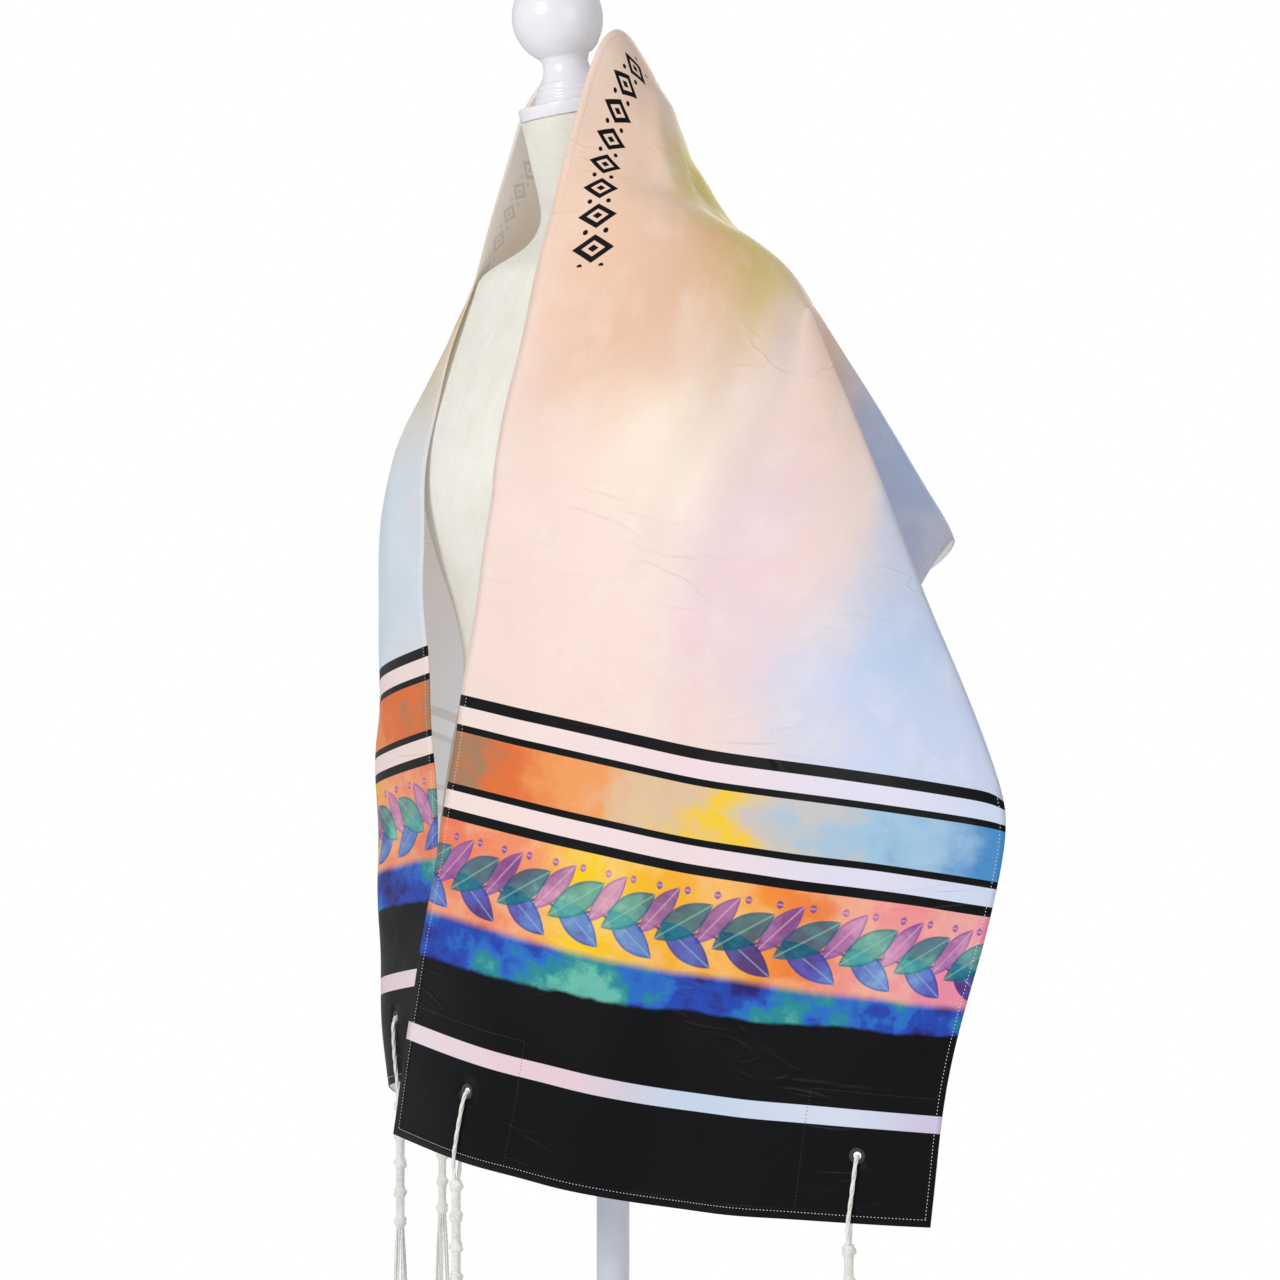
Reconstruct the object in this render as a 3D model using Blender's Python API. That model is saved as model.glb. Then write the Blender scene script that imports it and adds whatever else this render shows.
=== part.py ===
"""A tallit prayer shawl worn on a limbless dress form, with the form's pole stand.

Metres, +Z up. The form faces -Y, and its own left side, the side nearer to the photo's
viewer, is +X. The origin is on the floor under the pole.

The shawl is one rectangle. A point of it is named by two lengths on the flat cloth:
down, from the middle of the nape along the inner edge to a hem, and wide, from the
inner edge out to the outer edge. Tables give where a few lines of the cloth hang.
"""

import math

import bmesh
import bpy
from mathutils import Vector
from mathutils.bvhtree import BVHTree

# Flat cut of the shawl
CLOTH_WIDTH = 0.46
NEAR_LENGTH = 0.93
FAR_LENGTH = 0.90
CLOTH_WALL = 0.0015
CELL = 0.025
REST_GAP = 0.0019
REST_ROUNDS = 12

# Where the side dart of the cloth opens, on the flat cloth
DART_DOWN = 0.273
DART_WIDE = 0.233
FOLD_DOWN = 0.607
INNER_CELLS = 10
OUTER_CELLS = 9
DART_RAYS = 13

# The inner edge on the near side, from the nape to the hem
INNER_NEAR = [
    {"down": 0.000, "x": 0.000, "y": 0.020, "z": 1.436},
    {"down": 0.055, "x": 0.036, "y": 0.006, "z": 1.455},
    {"down": 0.110, "x": 0.050, "y": -0.033, "z": 1.476},
    {"down": 0.190, "x": 0.058, "y": -0.066, "z": 1.392},
    {"down": 0.273, "x": 0.064, "y": -0.094, "z": 1.306},
    {"down": 0.400, "x": 0.059, "y": -0.122, "z": 1.180},
    {"down": 0.500, "x": 0.047, "y": -0.135, "z": 1.076},
    {"down": 0.607, "x": 0.033, "y": -0.146, "z": 0.970},
    {"down": 0.720, "x": 0.016, "y": -0.157, "z": 0.855},
    {"down": 0.810, "x": 0.002, "y": -0.168, "z": 0.766},
    {"down": 0.930, "x": -0.015, "y": -0.178, "z": 0.644},
]
# The same on the far side, which hangs behind the near one at the front
INNER_FAR = [
    {"down": 0.000, "x": 0.000, "y": 0.020, "z": 1.436},
    {"down": 0.055, "x": -0.036, "y": 0.004, "z": 1.446},
    {"down": 0.110, "x": -0.051, "y": -0.035, "z": 1.446},
    {"down": 0.190, "x": -0.056, "y": -0.058, "z": 1.388},
    {"down": 0.273, "x": -0.061, "y": -0.080, "z": 1.306},
    {"down": 0.400, "x": -0.055, "y": -0.126, "z": 1.182},
    {"down": 0.500, "x": -0.048, "y": -0.138, "z": 1.082},
    {"down": 0.607, "x": -0.036, "y": -0.139, "z": 0.976},
    {"down": 0.720, "x": -0.022, "y": -0.138, "z": 0.863},
    {"down": 0.810, "x": -0.018, "y": -0.138, "z": 0.774},
    {"down": 0.900, "x": -0.020, "y": -0.138, "z": 0.684},
]
# The middle line, over the shoulder at the dart and down the front, with how far the
# cloth swells out between the inner edge and this line
MIDDLE = [
    {"down": 0.000, "x": 0.000, "y": 0.093, "z": 1.222, "swell": 0.006},
    {"down": 0.050, "x": 0.044, "y": 0.084, "z": 1.254, "swell": 0.010},
    {"down": 0.110, "x": 0.088, "y": 0.074, "z": 1.284, "swell": 0.002},
    {"down": 0.190, "x": 0.138, "y": 0.067, "z": 1.284, "swell": 0.006},
    {"down": 0.273, "x": 0.180, "y": 0.056, "z": 1.266, "swell": 0.034},
    {"down": 0.340, "x": 0.210, "y": 0.022, "z": 1.194, "swell": 0.034},
    {"down": 0.420, "x": 0.224, "y": -0.014, "z": 1.118, "swell": 0.024},
    {"down": 0.500, "x": 0.232, "y": -0.036, "z": 1.038, "swell": 0.020},
    {"down": 0.607, "x": 0.230, "y": -0.050, "z": 0.932, "swell": 0.022},
    {"down": 0.720, "x": 0.219, "y": -0.058, "z": 0.820, "swell": 0.030},
    {"down": 0.810, "x": 0.207, "y": -0.066, "z": 0.731, "swell": 0.036},
    {"down": 0.930, "x": 0.190, "y": -0.078, "z": 0.612, "swell": 0.034},
]
# The outer edge: across the back, round the tuck and the fold, and down the front
OUTER = [
    {"down": 0.000, "x": 0.000, "y": 0.122, "z": 0.992},
    {"down": 0.060, "x": 0.050, "y": 0.146, "z": 0.998},
    {"down": 0.120, "x": 0.098, "y": 0.160, "z": 1.015},
    {"down": 0.190, "x": 0.148, "y": 0.158, "z": 1.045},
    {"down": 0.273, "x": 0.206, "y": 0.170, "z": 1.072},
    {"down": 0.345, "x": 0.250, "y": 0.140, "z": 1.088},
    {"down": 0.439, "x": 0.262, "y": 0.078, "z": 1.004},
    {"down": 0.500, "x": 0.318, "y": 0.086, "z": 0.958},
    {"down": 0.607, "x": 0.408, "y": 0.074, "z": 0.904},
    {"down": 0.720, "x": 0.396, "y": 0.060, "z": 0.800},
    {"down": 0.810, "x": 0.378, "y": 0.046, "z": 0.722},
    {"down": 0.930, "x": 0.362, "y": 0.042, "z": 0.612},
]
FRONT_SWELL = 0.020
OVER_SHOULDER_DOWN = 0.200
OVER_SHOULDER_REACH = 0.160
SMOOTHING_ROUNDS = 3
SMOOTHING_SHARE = 0.5

# The far side is the near side mirrored, hanging closer to the form
FAR_REACH = 0.90
FAR_BULGE = 0.036
FAR_BULGE_WIDE = 0.30
FAR_BULGE_DOWN = (0.26, 0.44)
FAR_BULGE_END = 0.90
FAR_BULGE_WAY = (-0.6, -0.8, 0.0)

# Corner reinforcements and tassel holes
PATCH_CELLS_UP = 4
PATCH_CELLS_IN = 5
PATCH_GAP = 0.0003
PATCH_WALL = 0.0010
HOLE_CELLS_UP = 2
HOLE_CELLS_IN = 3
HOLE_DIAMETER = 0.010
HOLE_SIDES = 12

# Tassels: a loop through the hole, knots with windings between them, and free strands
CORD_DIAMETER = 0.0030
CORD_GAP = 0.0006
CORD_SIDES = 6
NECK_DROP = 0.020
KNOT_RADIUS = 0.0048
WRAP_RADIUS = 0.0032
KNOT_COUNT = 5
KNOT_PITCH = 0.022
STRAND_COUNT = 8
STRAND_LENGTH = 0.190
STRAND_DIAMETER = 0.0016
STRAND_SIDES = 3
STRAND_STEPS = 6
STRAND_RING = 0.0021
STRAND_SPREAD = 0.0100
TASSEL_SIDES = 8

# Dress form: half width, front and back of each level
TORSO = [
    {"z": 0.800, "half": 0.166, "front": -0.112, "back": 0.104},
    {"z": 0.812, "half": 0.172, "front": -0.117, "back": 0.110},
    {"z": 0.860, "half": 0.171, "front": -0.117, "back": 0.109},
    {"z": 0.920, "half": 0.152, "front": -0.112, "back": 0.092},
    {"z": 0.990, "half": 0.123, "front": -0.106, "back": 0.070},
    {"z": 1.030, "half": 0.130, "front": -0.112, "back": 0.072},
    {"z": 1.075, "half": 0.147, "front": -0.125, "back": 0.080},
    {"z": 1.120, "half": 0.160, "front": -0.134, "back": 0.087},
    {"z": 1.165, "half": 0.170, "front": -0.130, "back": 0.092},
    {"z": 1.210, "half": 0.171, "front": -0.116, "back": 0.093},
    {"z": 1.245, "half": 0.160, "front": -0.104, "back": 0.088},
    {"z": 1.270, "half": 0.141, "front": -0.096, "back": 0.077},
    {"z": 1.290, "half": 0.118, "front": -0.089, "back": 0.064},
    {"z": 1.310, "half": 0.074, "front": -0.062, "back": 0.036},
    {"z": 1.328, "half": 0.050, "front": -0.053, "back": 0.013},
    {"z": 1.348, "half": 0.041, "front": -0.057, "back": 0.005},
    {"z": 1.375, "half": 0.039, "front": -0.065, "back": 0.004},
    {"z": 1.408, "half": 0.040, "front": -0.073, "back": 0.007},
]
TORSO_SIDES = 48
TORSO_ROUNDNESS = 0.92
NECK_Y = -0.033
NECK_TOP = 1.408
NECK_LEAN = math.radians(11.0)

# Neck plate and ball-top finial, along the leaning neck axis
PLATE_PROFILE = [
    (0.0, 0.0),
    (0.041, 0.0),
    (0.042, 0.001),
    (0.042, 0.009),
    (0.041, 0.010),
    (0.0, 0.010),
]
FINIAL_PROFILE = [
    {"radius": 0.0285, "up": 0.000},
    {"radius": 0.0290, "up": 0.004},
    {"radius": 0.0270, "up": 0.006},
    {"radius": 0.0272, "up": 0.009},
    {"radius": 0.0252, "up": 0.011},
    {"radius": 0.0252, "up": 0.014},
    {"radius": 0.0225, "up": 0.016},
    {"radius": 0.0190, "up": 0.022},
    {"radius": 0.0175, "up": 0.029},
]
BALL_RADIUS = 0.0355
BALL_CENTRE_UP = 0.0640
BALL_FOOT_UP = 0.0340
BALL_STEPS = 11
TURNED_SIDES = 28

# Pole stand
SEAM = 0.0003
UNDER_PLATE_HEIGHT = 0.012
UNDER_PLATE_INSET = 0.96
POLE_DIAMETER = 0.025
BASE_PROFILE = [
    (0.0, 0.0),
    (0.150, 0.0),
    (0.152, 0.003),
    (0.150, 0.009),
    (0.110, 0.016),
    (0.0, 0.020),
]
SOCKET_PROFILE = [
    (0.0, 0.0),
    (0.030, 0.0),
    (0.030, 0.006),
    (0.020, 0.014),
    (0.018, 0.055),
    (0.0, 0.055),
]


def clear_scene():
    for old in list(bpy.data.objects):
        bpy.data.objects.remove(old, do_unlink=True)


def make_object(name, points, faces, hidden=False):
    mesh = bpy.data.meshes.new(name)
    mesh.from_pydata([tuple(p) for p in points], [], faces)
    mesh.validate()
    solid = bpy.data.objects.new(name, mesh)
    bpy.context.scene.collection.objects.link(solid)
    solid.hide_render = hidden
    solid.hide_viewport = hidden
    return solid


def face_outward(solid):
    work = bmesh.new()
    work.from_mesh(solid.data)
    bmesh.ops.recalc_face_normals(work, faces=work.faces)
    work.to_mesh(solid.data)
    work.free()


def apply_modifiers(solid):
    """Puts what the modifiers make into the mesh."""
    graph = bpy.context.evaluated_depsgraph_get()
    made = bpy.data.meshes.new_from_object(solid.evaluated_get(graph))
    solid.modifiers.clear()
    solid.data = made


# Lines through the tables


def smooth_value(rows, column, at):
    """A smooth curve through a table's rows, read at one length down the cloth."""
    last = len(rows) - 1
    i = 0
    while i < last - 1 and at > rows[i + 1]["down"]:
        i += 1
    d0, d1 = rows[i]["down"], rows[i + 1]["down"]
    v0, v1 = rows[i][column], rows[i + 1][column]

    def slope(k):
        low, high = max(k - 1, 0), min(k + 1, last)
        return (rows[high][column] - rows[low][column]) / (rows[high]["down"] - rows[low]["down"])

    step = d1 - d0
    u = (at - d0) / step
    m0, m1 = slope(i) * step, slope(i + 1) * step
    return (
        (2 * u**3 - 3 * u**2 + 1) * v0
        + (u**3 - 2 * u**2 + u) * m0
        + (3 * u**2 - 2 * u**3) * v1
        + (u**3 - u**2) * m1
    )


def line_point(rows, at):
    return Vector([smooth_value(rows, column, at) for column in "xyz"])


# The shape of the hanging cloth


def hang(down, wide, inner):
    """Where a point of the flat cloth hangs, on the near side."""
    middle = line_point(MIDDLE, down)
    if wide <= DART_WIDE:
        share = wide / DART_WIDE
        edge = line_point(inner, down)
        swell = smooth_value(MIDDLE, "swell", down) * math.sin(math.pi * share)
        return edge.lerp(middle, share) + outward(edge, middle, down) * swell
    reach = (wide - DART_WIDE) / (CLOTH_WIDTH - DART_WIDE)
    start = line_point(MIDDLE, DART_DOWN)
    at_edge = DART_DOWN + (down - DART_DOWN) / reach
    if down <= DART_DOWN:
        return middle.lerp(line_point(OUTER, down), reach)
    if at_edge <= FOLD_DOWN:
        return start.lerp(line_point(OUTER, at_edge), reach)
    along = min((down - DART_DOWN) / (FOLD_DOWN - DART_DOWN), 1.0)
    fold_wide = DART_WIDE + along * (CLOTH_WIDTH - DART_WIDE)
    rim = start.lerp(line_point(OUTER, FOLD_DOWN), along) if along < 1 else line_point(OUTER, down)
    share = (wide - DART_WIDE) / (fold_wide - DART_WIDE)
    swell = FRONT_SWELL * along * math.sin(math.pi * share)
    return middle.lerp(rim, share) + outward(middle, rim, down) * swell


def outward(first, second, down):
    """The way that the cloth swells: out from the form, and up where it lies on a shoulder."""
    middle = (first + second) / 2
    out = Vector((middle.x, middle.y - NECK_Y, 0.0)).normalized()
    over = max(0.0, 1.0 - abs(down - OVER_SHOULDER_DOWN) / OVER_SHOULDER_REACH)
    return (out * (1 - over) + Vector((0.0, 0.0, 1.0)) * over).normalized()


def down_rows(length):
    """The rows of the mesh, with one at the dart's tip, its fold and its hem."""
    marks = [0.0, DART_DOWN, FOLD_DOWN, length]
    rows = []
    for low, high in zip(marks, marks[1:]):
        count = round((high - low) / CELL)
        rows += [low + (high - low) * k / count for k in range(count)]
    return rows + [length]


def fold_wide(down):
    """How wide the front is where the fold crosses a row."""
    if down >= FOLD_DOWN:
        return CLOTH_WIDTH
    return DART_WIDE + (CLOTH_WIDTH - DART_WIDE) * (down - DART_DOWN) / (FOLD_DOWN - DART_DOWN)


def flat_patches(length):
    """Quads of the flat cloth on one side, as corners (down, wide)."""
    rows = down_rows(length)
    fold_rows = [at for at in rows if DART_DOWN <= at <= FOLD_DOWN]
    ray_steps = [(at - DART_DOWN) / (FOLD_DOWN - DART_DOWN) for at in fold_rows]
    inner = [k / INNER_CELLS for k in range(INNER_CELLS + 1)]
    outer = [k / OUTER_CELLS for k in range(OUTER_CELLS + 1)]
    quads = []
    for low, high in zip(rows, rows[1:]):
        quads += strip(low, high, inner, 0.0, (DART_WIDE, DART_WIDE))
        if high <= DART_DOWN:
            quads += strip(low, high, ray_steps, DART_WIDE, (CLOTH_WIDTH, CLOTH_WIDTH))
        else:
            quads += strip(low, high, outer, DART_WIDE, (fold_wide(low), fold_wide(high)))
    rays = [DART_DOWN + (FOLD_DOWN - DART_DOWN) * k / DART_RAYS for k in range(DART_RAYS + 1)]
    for one, two in zip(rays, rays[1:]):
        for near, far in zip(ray_steps, ray_steps[1:]):
            ends = ((one, near), (two, near), (two, far), (one, far))
            quads.append([ray_place(ray, step) for ray, step in ends])
    return quads


def strip(low, high, shares, start, limits):
    """The quads between two rows, from one width to where each row ends."""
    quads = []
    for a, b in zip(shares, shares[1:]):
        spread = [[start + (limit - start) * share for share in (a, b)] for limit in limits]
        lower = [(low, spread[0][0]), (high, spread[1][0])]
        quads.append(lower + [(high, spread[1][1]), (low, spread[0][1])])
    return quads


def ray_place(at_edge, step):
    """A place on the line from the dart's tip to one length along the outer edge."""
    return DART_DOWN + (at_edge - DART_DOWN) * step, DART_WIDE + (CLOTH_WIDTH - DART_WIDE) * step


class Cloth:
    """The cloth's middle surface as a mesh with flat places for names."""

    def __init__(self, form):
        self.places = {}
        self.points = []
        self.faces = []
        self.add_side(1, NEAR_LENGTH, INNER_NEAR)
        self.add_side(-1, FAR_LENGTH, INNER_FAR)
        self.settle(form)

    def index(self, side, down, wide, inner):
        key = (round(side * down, 5), round(wide, 5))
        if key not in self.places:
            self.places[key] = len(self.points)
            mirrored = [dict(row, x=-row["x"]) for row in inner] if side < 0 else inner
            point = hang(down, wide, mirrored)
            if side < 0:
                point = far_hang(point, down, wide)
            self.points.append(point)
        return self.places[key]

    def add_side(self, side, length, inner):
        for quad in flat_patches(length):
            ring = []
            for down, wide in quad:
                i = self.index(side, down, wide, inner)
                if i not in ring:
                    ring.append(i)
            if len(ring) > 2:
                self.faces.append(ring if side > 0 else ring[::-1])

    def settle(self, form):
        """Softens the folds, keeps the corners and rests the cloth on the form."""
        beside = [set() for _ in self.points]
        uses = {}
        for ring in self.faces:
            for a, b in zip(ring, ring[1:] + ring[:1]):
                beside[a].add(b)
                beside[b].add(a)
                uses[frozenset((a, b))] = uses.get(frozenset((a, b)), 0) + 1
        rim = {i for pair, count in uses.items() if count == 1 for i in pair}
        corners = {self.places[key] for key in self.places if is_corner(*key)}
        for _ in range(SMOOTHING_ROUNDS):
            moved = list(self.points)
            for i, point in enumerate(self.points):
                others = [j for j in beside[i] if i not in rim or j in rim]
                mean = sum((self.points[j] for j in others), Vector()) / len(others)
                moved[i] = point if i in corners else point.lerp(mean, SMOOTHING_SHARE)
            self.points = moved
            self.rest(form)
        for _ in range(REST_ROUNDS):
            self.rest(form)

    def rest(self, form):
        """Moves each face that is too close to the form out to the gap at which cloth rests."""
        for ring in self.faces:
            spots = [self.points[i] for i in ring]
            spots += [(a + b) / 2 for a, b in zip(spots, spots[1:] + spots[:1])]
            spots.append(sum(spots, Vector()) / len(spots))
            worst, way = 0.0, None
            for spot in spots:
                near, normal, _, _ = form.find_nearest(spot)
                lack = REST_GAP - (spot - near).dot(normal)
                if lack > worst and (spot - near).length < CLOTH_WIDTH / 4:
                    worst, way = lack, normal
            if way:
                for i in ring:
                    self.points[i] = self.points[i] + way * worst


def is_corner(down, wide):
    return wide in (0.0, CLOTH_WIDTH) and down in (NEAR_LENGTH, -FAR_LENGTH)


def far_hang(point, down, wide):
    """The far side's place for a near side's point, bulging forward next to the inner edge."""
    squeeze = 1 - (1 - FAR_REACH) * min(wide / CLOTH_WIDTH, 1.0)
    start, full = FAR_BULGE_DOWN
    grown = max(0.0, min(1.0, (down - start) / (full - start)))
    kept = 1.0 - max(0.0, (down - full) / (FAR_BULGE_END - full))
    bulge = FAR_BULGE * grown**2 * (3 - 2 * grown) * kept
    bulge *= math.sin(math.pi * min(wide / FAR_BULGE_WIDE, 1.0))
    return Vector((-point.x * squeeze, point.y, point.z)) + Vector(FAR_BULGE_WAY) * bulge


def torso_ring(row):
    ring = []
    middle, depth = (row["front"] + row["back"]) / 2, (row["back"] - row["front"]) / 2
    for k in range(TORSO_SIDES):
        turn = 2 * math.pi * k / TORSO_SIDES
        c, s = math.cos(turn), math.sin(turn)
        across = row["half"] * math.copysign(abs(c) ** TORSO_ROUNDNESS, c)
        ring.append(Vector((across, middle + depth * s, row["z"])))
    return ring


def lean_with_neck(point):
    """Tilts the neck's top forward, more the higher it is."""
    share = max(0.0, min(1.0, (point.z - 1.33) / (NECK_TOP - 1.33)))
    return point + Vector((0, 0, (point.y - NECK_Y) * math.tan(NECK_LEAN) * share))


def make_torso():
    points, faces = [], []
    for row in TORSO:
        points += [lean_with_neck(p) for p in torso_ring(row)]
    n = TORSO_SIDES
    for i in range(len(TORSO) - 1):
        for k in range(n):
            a, b = i * n + k, i * n + (k + 1) % n
            faces.append([a, b, b + n, a + n])
    faces.append(list(range(n))[::-1])
    faces.append([(len(TORSO) - 1) * n + k for k in range(n)])
    return make_object("form_torso", points, faces)


def turned(name, profile, place, lean=0.0, sides=TURNED_SIDES):
    """A turned solid from (radius, up) pairs, whose axis may lean toward the front."""
    points, faces = [], []
    up_axis = Vector((0, -math.sin(lean), math.cos(lean)))
    back_axis = Vector((0, math.cos(lean), math.sin(lean)))
    rings = []
    for radius, up in profile:
        centre = Vector(place) + up_axis * up
        if radius < 1e-6:
            rings.append([len(points)])
            points.append(centre)
            continue
        ring = []
        for k in range(sides):
            turn = 2 * math.pi * k / sides
            ring.append(len(points))
            across = Vector((radius * math.cos(turn), 0, 0))
            points.append(centre + across + back_axis * radius * math.sin(turn))
        rings.append(ring)
    for low, high in zip(rings, rings[1:]):
        for k in range(sides):
            a, b = low[k % len(low)], low[(k + 1) % len(low)]
            c, d = high[(k + 1) % len(high)], high[k % len(high)]
            ring = []
            for i in (a, b, c, d):
                if i not in ring:
                    ring.append(i)
            faces.append(ring)
    solid = make_object(name, points, faces)
    face_outward(solid)
    return solid


def along_neck(up):
    return Vector((0, NECK_Y - math.sin(NECK_LEAN) * up, NECK_TOP + math.cos(NECK_LEAN) * up))


def make_finial():
    profile = [(0.0, 0.0)] + [(row["radius"], row["up"]) for row in FINIAL_PROFILE]
    start = -math.asin((BALL_CENTRE_UP - BALL_FOOT_UP) / BALL_RADIUS)
    for k in range(BALL_STEPS + 1):
        rise = start + (math.pi / 2 - start) * k / BALL_STEPS
        radius = BALL_RADIUS * math.cos(rise) if k < BALL_STEPS else 0.0
        profile.append((radius, BALL_CENTRE_UP + BALL_RADIUS * math.sin(rise)))
    plate_top = PLATE_PROFILE[-1][1] + 2 * SEAM
    return turned("form_finial", profile, along_neck(plate_top), NECK_LEAN)


def make_stand():
    turned("form_neck_plate", PLATE_PROFILE, along_neck(SEAM), NECK_LEAN)
    make_finial()
    bottom = TORSO[0]
    inset = Vector((UNDER_PLATE_INSET, UNDER_PLATE_INSET, 1.0))
    points = []
    for z in (bottom["z"] - SEAM - UNDER_PLATE_HEIGHT, bottom["z"] - SEAM):
        points += [p * inset for p in torso_ring(dict(bottom, z=z))]
    n = TORSO_SIDES
    faces = [[k, (k + 1) % n, (k + 1) % n + n, k + n] for k in range(n)]
    faces += [list(range(n))[::-1], list(range(n, 2 * n))]
    face_outward(make_object("form_under_plate", points, faces))
    turned("stand_base", BASE_PROFILE, (0, 0, 0), sides=64)
    socket_foot = BASE_PROFILE[-1][1] + SEAM
    turned("stand_socket", SOCKET_PROFILE, (0, 0, socket_foot))
    pole_foot = socket_foot + SOCKET_PROFILE[-1][1] + SEAM
    pole_top = bottom["z"] - 2 * SEAM - UNDER_PLATE_HEIGHT
    radius = POLE_DIAMETER / 2
    height = pole_top - pole_foot
    turned("stand_pole", [(0, 0), (radius, 0), (radius, height), (0, height)], (0, 0, pole_foot))


# Walls, holes and tassels on the cloth's points


def wall_between(name, points, normals, faces, inside, outside):
    """A closed wall from inside to outside of a surface, measured along its normals."""
    count = len(points)
    shell = [p + n * outside for p, n in zip(points, normals)]
    shell += [p + n * inside for p, n in zip(points, normals)]
    rings = [list(ring) for ring in faces] + [[i + count for i in reversed(ring)] for ring in faces]
    sides = {}
    for ring in faces:
        for a, b in zip(ring, ring[1:] + ring[:1]):
            sides[(a, b)] = True
    for a, b in sides:
        if (b, a) not in sides:
            rings.append([b, a, a + count, b + count])
    return make_object(name, shell, rings)


def surface_normals(points, faces):
    normals = [Vector() for _ in points]
    for ring in faces:
        corners = [points[i] for i in ring]
        flat = (corners[1] - corners[0]).cross(corners[-1] - corners[0])
        if len(ring) > 3:
            flat += (corners[3] - corners[2]).cross(corners[1] - corners[2])
        for i in ring:
            normals[i] += flat
    return [n.normalized() for n in normals]


def corner_grid(cloth, side, at_side):
    """The cloth's point numbers at one corner, by rows up from the hem and steps in from the edge."""
    length = NEAR_LENGTH if side > 0 else FAR_LENGTH
    rows = down_rows(length)[::-1][: PATCH_CELLS_UP + 1]
    if at_side:
        cell = (CLOTH_WIDTH - DART_WIDE) / OUTER_CELLS
        wides = [CLOTH_WIDTH - cell * k for k in range(PATCH_CELLS_IN + 1)]
    else:
        wides = [DART_WIDE * k / INNER_CELLS for k in range(PATCH_CELLS_IN + 1)]
    return [[cloth.places[(round(side * row, 5), round(wide, 5))] for wide in wides] for row in rows]


def make_patch(name, cloth, normals, grid):
    """A square reinforcement on the reverse, a hair off the cloth's wall."""
    numbers = [i for row in grid for i in row]
    n = len(grid[0])
    faces = []
    for r in range(len(grid) - 1):
        for c in range(n - 1):
            faces.append([r * n + c, r * n + c + 1, (r + 1) * n + c + 1, (r + 1) * n + c])
    points = [cloth.points[i] for i in numbers]
    if surface_normals(points, faces)[0].dot(normals[numbers[0]]) < 0:
        faces = [ring[::-1] for ring in faces]
    normals = [normals[i] for i in numbers]
    near_side = -CLOTH_WALL / 2 - PATCH_GAP
    return wall_between(name, points, normals, faces, near_side - PATCH_WALL, near_side)


def cut_hole(solids, centre, axis):
    """A round hole through the solids, along axis."""
    side = axis.orthogonal().normalized()
    other = axis.cross(side)
    points = []
    for end in (-1, 1):
        for k in range(HOLE_SIDES):
            turn = 2 * math.pi * k / HOLE_SIDES
            ring = side * math.cos(turn) + other * math.sin(turn)
            points.append(centre + axis * end * HOLE_DIAMETER + ring * HOLE_DIAMETER / 2)
    n = HOLE_SIDES
    faces = [[k, (k + 1) % n, (k + 1) % n + n, k + n] for k in range(n)]
    faces += [list(range(n))[::-1], list(range(n, 2 * n))]
    cutter = make_object("cutter", points, faces)
    face_outward(cutter)
    for solid in solids:
        cut = solid.modifiers.new("hole", "BOOLEAN")
        cut.operation, cut.solver, cut.object = "DIFFERENCE", "EXACT", cutter
        apply_modifiers(solid)
    bpy.data.objects.remove(cutter, do_unlink=True)


def tube(path, radius, sides):
    """Points and faces of a closed tube along a path."""
    points, faces = [], []
    side = None
    for i, point in enumerate(path):
        ahead = (path[min(i + 1, len(path) - 1)] - path[max(i - 1, 0)]).normalized()
        side = ahead.orthogonal() if side is None else side - ahead * side.dot(ahead)
        side.normalize()
        other = ahead.cross(side)
        for k in range(sides):
            turn = 2 * math.pi * k / sides
            points.append(point + (side * math.cos(turn) + other * math.sin(turn)) * radius)
    for i in range(len(path) - 1):
        for k in range(sides):
            a, b = i * sides + k, i * sides + (k + 1) % sides
            faces.append([a, b, b + sides, a + sides])
    faces.append(list(range(sides))[::-1])
    faces.append([(len(path) - 1) * sides + k for k in range(sides)])
    return points, faces


def loop_path(cloth, normals, grid):
    """The doubled cord: up the outer face from below the hem, through the hole and down the reverse."""
    column = [grid[r][HOLE_CELLS_IN] for r in range(HOLE_CELLS_UP + 1)]
    outer_off = CLOTH_WALL / 2 + CORD_GAP + CORD_DIAMETER / 2
    reverse_off = outer_off + PATCH_GAP + PATCH_WALL
    face = [cloth.points[i] + normals[i] * outer_off for i in column]
    reverse = [cloth.points[i] - normals[i] * reverse_off for i in column]
    hem = cloth.points[column[0]]
    knot = hem - Vector((0, 0, NECK_DROP))
    top = cloth.points[column[-1]]
    below = Vector((0, 0, CORD_DIAMETER))
    apart = Vector((normals[column[0]].x, normals[column[0]].y, 0)).normalized() * CORD_DIAMETER * 0.6
    return knot, (
        [knot + apart, face[0] - below]
        + face
        + [top + normals[column[-1]] * outer_off / 3, top - normals[column[-1]] * reverse_off / 3]
        + reverse[::-1]
        + [reverse[0] - below, knot - apart]
    )


def head_profile():
    """Radius against height up from the head's foot: windings with a knot at each pitch."""
    length = KNOT_PITCH * (KNOT_COUNT - 1)
    profile = [(0.0, -KNOT_RADIUS), (WRAP_RADIUS, -KNOT_RADIUS)]
    for k in range(KNOT_COUNT):
        up = KNOT_PITCH * k
        profile += [(KNOT_RADIUS, up - KNOT_RADIUS / 3), (KNOT_RADIUS, up + KNOT_RADIUS / 3)]
        profile.append((WRAP_RADIUS, up + KNOT_RADIUS))
        if k < KNOT_COUNT - 1:
            profile.append((WRAP_RADIUS, up + KNOT_PITCH - KNOT_RADIUS))
    return profile + [(0.0, length + KNOT_RADIUS)]


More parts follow.
